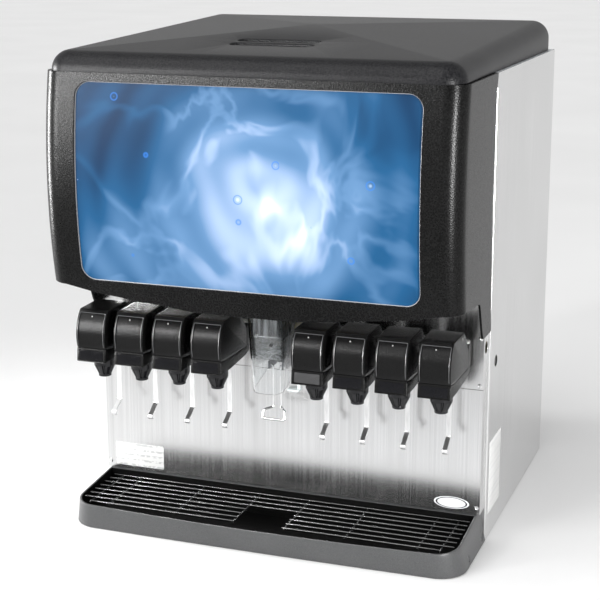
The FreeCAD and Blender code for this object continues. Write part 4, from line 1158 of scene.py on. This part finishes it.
# ---- drip tray and cup rest ----
TRAY_HIGH = box_mm("drip_tray")[1]
TRAY_HALF, TRAY_REAR = TRAY_HIGH.x, TRAY_HIGH.y
TRAY_RIM_FRONT = -337.0
TRAY_FRONT = -332.0
TRAY_RIM_HALF = 371.0
TRAY_FLOOR = 8.0
TRAY_BASIN_REAR = -175.8
TRAY_WALL_FOOT, TRAY_WALL_RIM = 8.0, 4.0
REAR_POSTS, FRONT_POSTS = (-300, -166, 166, 300), (-250, -120, 120, 250)
NOTCH_Y = (-161.5, -260.5)


def tray_loop(half, front, bow, rear, corner, height):
    """Outline with a bowed front and rounded front corners; height is a function of y."""
    side = [rear + (front + corner - rear) * i / 8 for i in range(8)]
    left = [(-half, y) for y in side]
    left += arc_points((-half + corner, front + corner), corner, 180, 262, 9)
    right = arc_points((half - corner, front + corner), corner, 278, 360, 9)
    right += [(half, y) for y in reversed(side)]
    a, b = left[-1], right[0]
    middle = []
    for i in range(1, 24):
        x = a[0] + (b[0] - a[0]) * i / 24
        middle.append((x, a[1] - bow * (1 - (x / b[0]) ** 2)))
    back = [(half - 2 * half * i / 24, rear) for i in range(1, 24)]
    return [(x, y, height(y)) for x, y in left + middle + right + back]


def tray_rim(y):
    t = min(1.0, max(0.0, (y + 330) / 158))
    return 48.0 + 13.5 * t


def tray_outer(t, grow, height):
    """Outside of the tray from its foot, t = 0, to its rim, t = 1."""
    half = TRAY_HALF + (TRAY_RIM_HALF - TRAY_HALF) * t + grow
    front = TRAY_FRONT + (TRAY_RIM_FRONT - TRAY_FRONT) * t - grow
    return tray_loop(half, front, 3 + 10 * t, TRAY_REAR, 52 - 6 * t, height)


def tray_basin(t, shrink, height):
    """Inside of the tray from its floor, t = 0, to its rim, t = 1."""
    foot, rim = TRAY_HALF - TRAY_WALL_FOOT, TRAY_RIM_HALF - TRAY_WALL_RIM
    front_foot, front_rim = TRAY_FRONT + TRAY_WALL_FOOT, TRAY_RIM_FRONT + TRAY_WALL_RIM
    return tray_loop(foot + (rim - foot) * t - shrink, front_foot + (front_rim - front_foot) * t + shrink,
                     3 + 10 * t, TRAY_BASIN_REAR, 44 - 2 * t, height)


def below_rim(drop):
    """A height that follows the tray's rim, as a function of y."""
    return lambda y: tray_rim(y) - drop


def at_height(z):
    return lambda y: z


def tray_mesh():
    """Shell with a rounded foot and rim, the moulded posts and the ribs on its floor."""
    tray = Shape()
    outside = [(0, -2.5, at_height(0)), (0, -0.8, at_height(0.5)), (0, 0, at_height(2.2)),
               (0.25, 0, at_height(13)), (0.5, 0, at_height(26)), (0.75, 0, at_height(38)),
               (0.93, 0, below_rim(2.4)), (0.97, -0.4, below_rim(0.8)), (1, -1.4, below_rim(0))]
    inside = [(1, -1.2, below_rim(0)), (1, -0.3, below_rim(0.6)), (0.97, 0, below_rim(1.8)),
              (0.5, 0, at_height(28)), (0.1, 0, at_height(12)), (0.02, 1.2, at_height(TRAY_FLOOR + 1.2)),
              (0, 4, at_height(TRAY_FLOOR))]
    tray.loft([tray_outer(*row) for row in outside] + [tray_basin(*row) for row in inside])
    root = TRAY_FLOOR - 0.5
    for places, y, radius, height in ((REAR_POSTS, TRAY_BASIN_REAR - 10, 6.0, 35.6),
                                      (FRONT_POSTS, TRAY_RIM_FRONT + 14, 5.0, 38.5)):
        profile = [(radius + 0.6, 0), (radius, 2), (radius, height), (radius - 0.8, height + 1),
                   (0, height + 1.2)]
        for x in places:
            turned(tray, (x, y, root), profile, "z", 20)
    for x in range(-240, 241, 60):
        slab(tray, rounded_rect((x - 1.2, x + 1.2), (-300, -200), 1.1, 2, 4), root, TRAY_FLOOR + 2.4, 0.5)
    return tray.mesh("tray_shell", angle=30)


def darken_basin(shell):
    """Gives the basin's faces, which look inward, the near-black inside material; the outer faces keep the
    lighter grey, which is painted light on the black plastic.
    """
    shell.data.materials.append(TRAY_INSIDE)
    for face in shell.data.polygons:
        x, y, z = face.center / MM
        to_middle = Vector((-x, -255 - y, 0))
        inward = face.normal.dot(to_middle) > 0 or (abs(x) < TRAY_HALF - 30 and y > TRAY_FRONT + 20)
        if inward and y < TRAY_BASIN_REAR + 1 and 4 < z < tray_rim(y) - 1:
            face.material_index = 1


def build_tray():
    shell = piece("tray_shell", tray_mesh(), "cabinet", TRAY_PAINTED_LIGHT, ["drip_tray"])
    notches = Shape()
    for x in (-TRAY_HALF, TRAY_HALF):
        for y in NOTCH_Y:
            slab(notches, rounded_rect((x - 5, x + 5), (y - 3, y + 3), 0.6, 2, 3), 9.0, 17.0)
    carve(shell, notches.mesh("notch_cutter"))
    darken_basin(shell)


REST_Z = 49.0
REST_REAR = -178.5
REST_PITCH = 20.0
REST_WIRE, REST_BEARER = 1.5, 1.8
REST_GAP = 48.0                     # half the gap in the front wires, above the drain
REST_REACH, REST_REACH_FRONT = 359.5, 339.5
BEARERS = (-340, -300, -166, -50, 50, 166, 300, 340)


def straight_wire(shape, a, b, radius, round_ends):
    start, end = Vector(a), Vector(b)
    path = [start.lerp(end, i / 6) for i in range(7)]
    sweep(shape, path, ring_section(radius, 10), Vector((0, 0, 1)), round_ends)


def build_cup_rest():
    wires = Shape()
    for k in range(8):
        y = REST_REAR - REST_PITCH * k
        reach = REST_REACH if k < 7 else REST_REACH_FRONT
        for x0, x1 in ([(-reach, reach)] if k < 4 else [(-reach, -REST_GAP), (REST_GAP, reach)]):
            straight_wire(wires, (x0, y, REST_Z), (x1, y, REST_Z), REST_WIRE, REST_WIRE * 0.9)
    mesh = wires.mesh("cup_rest_wires", angle=50)
    # the wires' dark steel is painted shade
    piece("cup_rest_wires", mesh, "cup_rest", STEEL_WIRE_PAINTED_SHADE, ["cup_rest"])
    bearers = Shape()
    for x in BEARERS:
        straight_wire(bearers, (x, REST_REAR + 0.2, REST_Z - 2.6),
                      (x, REST_REAR - 7 * REST_PITCH - 0.2, REST_Z - 2.6), REST_BEARER, 1.6)
    mesh = bearers.mesh("cup_rest_bearers", angle=50)
    piece("cup_rest_bearers", mesh, "cup_rest", DARK_STEEL)


# ---- screws, labels, plug ----
WRAPPER_HIGH = box_mm("wrapper")[1]
FRONT_SCREWS_X, FRONT_SCREWS_Z = (-369.5, 369.5), (75.0, 307.0, 395.0)
REAR_SCREWS_X, REAR_SCREWS_Z = (-340, 340), (60.0, 330.0, 600.0, 830.0)
SCREW_R = 4.2
DATA_LABEL_X, DATA_LABEL_Z = (-357, -254.5), (69.5, 116.5)
SIDE_LABEL_Y, SIDE_LABEL_Z = (-125.5, -28.5), (46, 186)
BADGE_CENTRE, BADGE_HALVES = (323.0, 80.0), (33.0, 11.5)


def on_front(u, v, w):
    """A point on the splash panel, w millimetres in front of it."""
    return (u, PANEL_FACE - w, v)


def build_screws():
    heads = Shape()
    for z in FRONT_SCREWS_Z:
        for x in FRONT_SCREWS_X:
            screw_shape(heads, (x, PANEL_FACE, z), "y", SCREW_R, -1.0)
    for z in REAR_SCREWS_Z:
        for x in REAR_SCREWS_X:
            screw_shape(heads, (x, WRAPPER_HIGH.y, z), "y", SCREW_R, 1.0)
    mesh = heads.mesh("screw_heads", angle=25)
    piece("screw_heads", mesh, "cabinet", STEEL_BRIGHT, ["panel_screws"])


def build_plug():
    low, high = box_mm("hole_plug")
    centre = (low + high) / 2
    plug = Shape()
    turned(plug, (low.x, centre.y, centre.z), [(10.6, 0), (10.95, 1.7), (10.7, 2.2), (9.6, 2.4), (9.1, 2.2),
                                               (8.9, 1.3), (7.5, 1.1), (0, 1.1)], "x", 40)
    piece("plug", plug.mesh("plug", angle=30), "cabinet", VALVE_BLACK, ["hole_plug"])


def build_data_label():
    card = Shape()
    slab(card, rounded_rect(DATA_LABEL_X, DATA_LABEL_Z, 2.0, 4, 5), 0.0, 0.4, 0.1, on_front)
    mesh = card.mesh("data_label_card")
    piece("data_label_card", mesh, "cabinet", DATA_LABEL, ["label_plates"])


def oval_ring(share_of_size, w):
    """The badge's oval at a share of its size, w millimetres in front of the panel."""
    turns = [2 * math.pi * i / 64 for i in range(64)]
    return [on_front(BADGE_CENTRE[0] + BADGE_HALVES[0] * share_of_size * math.cos(a),
                     BADGE_CENTRE[1] + BADGE_HALVES[1] * share_of_size * math.sin(a), w) for a in turns]


def build_badge():
    """A white frame, a dark line inside it and a blank domed face."""
    frame_rings = [(1.0, 0.0), (1.0, 0.5), (0.985, 0.85), (0.92, 0.9), (0.90, 0.6), (0.90, 0.0)]
    line_rings = [(0.905, 0.0), (0.905, 0.62), (0.80, 0.62), (0.80, 0.0)]
    dome_rings = [(0.805, 0.4), (0.80, 0.74), (0.6, 0.9), (0.3, 0.96), (0.02, 0.98)]
    for name, material, angle, rings in (("badge_frame", BADGE_FACE, 25, frame_rings),
                                         ("badge_line", BADGE_RIM, 25, line_rings),
                                         ("badge_dome", BADGE_FACE, 40, dome_rings)):
        shape = Shape()
        shape.loft([oval_ring(*ring) for ring in rings])
        piece(name, shape.mesh(name, angle=angle), "cabinet", material)


def build_side_label():
    film = Shape()
    slab(film, rounded_rect(SIDE_LABEL_Y, SIDE_LABEL_Z, 2.0, 4, 5), -0.35, 0.02, 0.05,
         lambda u, v, w: (WRAPPER_HIGH.x + w - 0.03, u, v))
    piece("side_label_film", film.mesh("side_label_film"), "cabinet", SIDE_LABEL)


# ---- stage, lights, camera ----
FLOOR_RADIUS, FLOOR_Z = 60000.0, -0.6
SUN_ANGLE = 50
# name, place (m), aim (m), power (W), width and height (m), beam (degrees)
STRIP_LIGHTS = (("left", (-2.9, -0.4, 0.6), (-0.3, -0.2, 0.55), 16, (0.4, 1.3), 60),
                ("corner", (-1.75, -2.3, 0.95), (-0.3, -0.3, 0.62), 3.4, (0.3, 0.9), 40),
                ("key", (-1.6, -3.1, 1.75), (-0.15, -0.3, 0.9), 3.4, (1.2, 0.08), 40),
                ("right", (2.1, -1.9, 0.7), (0.35, -0.25, 0.6), 6, (0.16, 1.2), 40))
CAMERA_PLACE = (0.9220, -2.6552, 1.1065)
CAMERA_DOWN, CAMERA_TURN = 13.08, 19.79         # degrees
CAMERA_LENS, CAMERA_SENSOR, CAMERA_SHIFT = 88.74, 36.0, -0.05


def build_stage():
    floor = Shape()
    turns = [math.pi * i / 16 for i in range(32)]
    rim = [(FLOOR_RADIUS * math.cos(a), FLOOR_RADIUS * math.sin(a), FLOOR_Z) for a in turns]
    floor.faces.append(tuple(floor.loop(rim)))
    mesh = floor.mesh("floor")
    material, tree, shader = new_material("floor", Roughness=0.7, Specular_IOR_Level=0.15)
    patches = noise(tree, placed(tree), 1.2, 2.0)
    feed(tree, shader, Base_Color=ramp(tree, patches, [(0.3, 0.90), (0.7, 0.93)]))
    mesh.materials.append(material)
    put("floor", mesh)


def light(name, data, place, aim, power):
    data.energy = power
    obj = put(name, data)
    obj.location = place
    obj.rotation_euler = (Vector(aim) - Vector(place)).to_track_quat("-Z", "Y").to_euler()
    obj.visible_camera = False


def build_lights():
    world = bpy.data.worlds.new("studio")
    bpy.context.scene.world = world
    world.use_nodes = True
    tree = world.node_tree
    way = add(tree, "TexCoord").outputs["Generated"]
    level = spread(tree, add(tree, "SeparateXYZ", {"Vector": way}).outputs["Z"], 0.0, 1.0)
    sky = ramp(tree, level, [(0.0, 0.85), (0.10, 0.70), (0.35, 0.52), (1.0, 0.50)])
    tree.links.new(sky, tree.nodes["Background"].inputs["Color"])
    sun = bpy.data.lights.new("sun", "SUN")
    sun.angle = math.radians(SUN_ANGLE)
    light("sun", sun, (-1.5, -2.2, 4.0), (0, 0, 0), 1.4)
    for name, place, aim, power, size, beam in STRIP_LIGHTS:
        strip = bpy.data.lights.new(name, "AREA")
        strip.shape, strip.size, strip.size_y = "RECTANGLE", size[0], size[1]
        strip.spread = math.radians(beam)
        light(name, strip, place, aim, power)


def build_camera():
    data = bpy.data.cameras.new("camera")
    data.lens, data.sensor_width, data.shift_y = CAMERA_LENS, CAMERA_SENSOR, CAMERA_SHIFT
    data.clip_end = 100
    obj = put("camera", data)
    obj.location = CAMERA_PLACE
    obj.rotation_euler = (math.radians(90 - CAMERA_DOWN), 0, math.radians(CAMERA_TURN))
    bpy.context.scene.camera = obj
    bpy.context.scene.view_settings.view_transform = "Standard"


for build in (dress_nodes, build_bezel, build_sign, build_lid, build_valves, build_levers, build_ice_lever,
              build_chute_cover, build_chute_mouth, build_water_tab, build_tray, build_cup_rest, build_screws,
              build_plug, build_data_label, build_badge, build_side_label, build_stage, build_lights,
              build_camera):
    build()
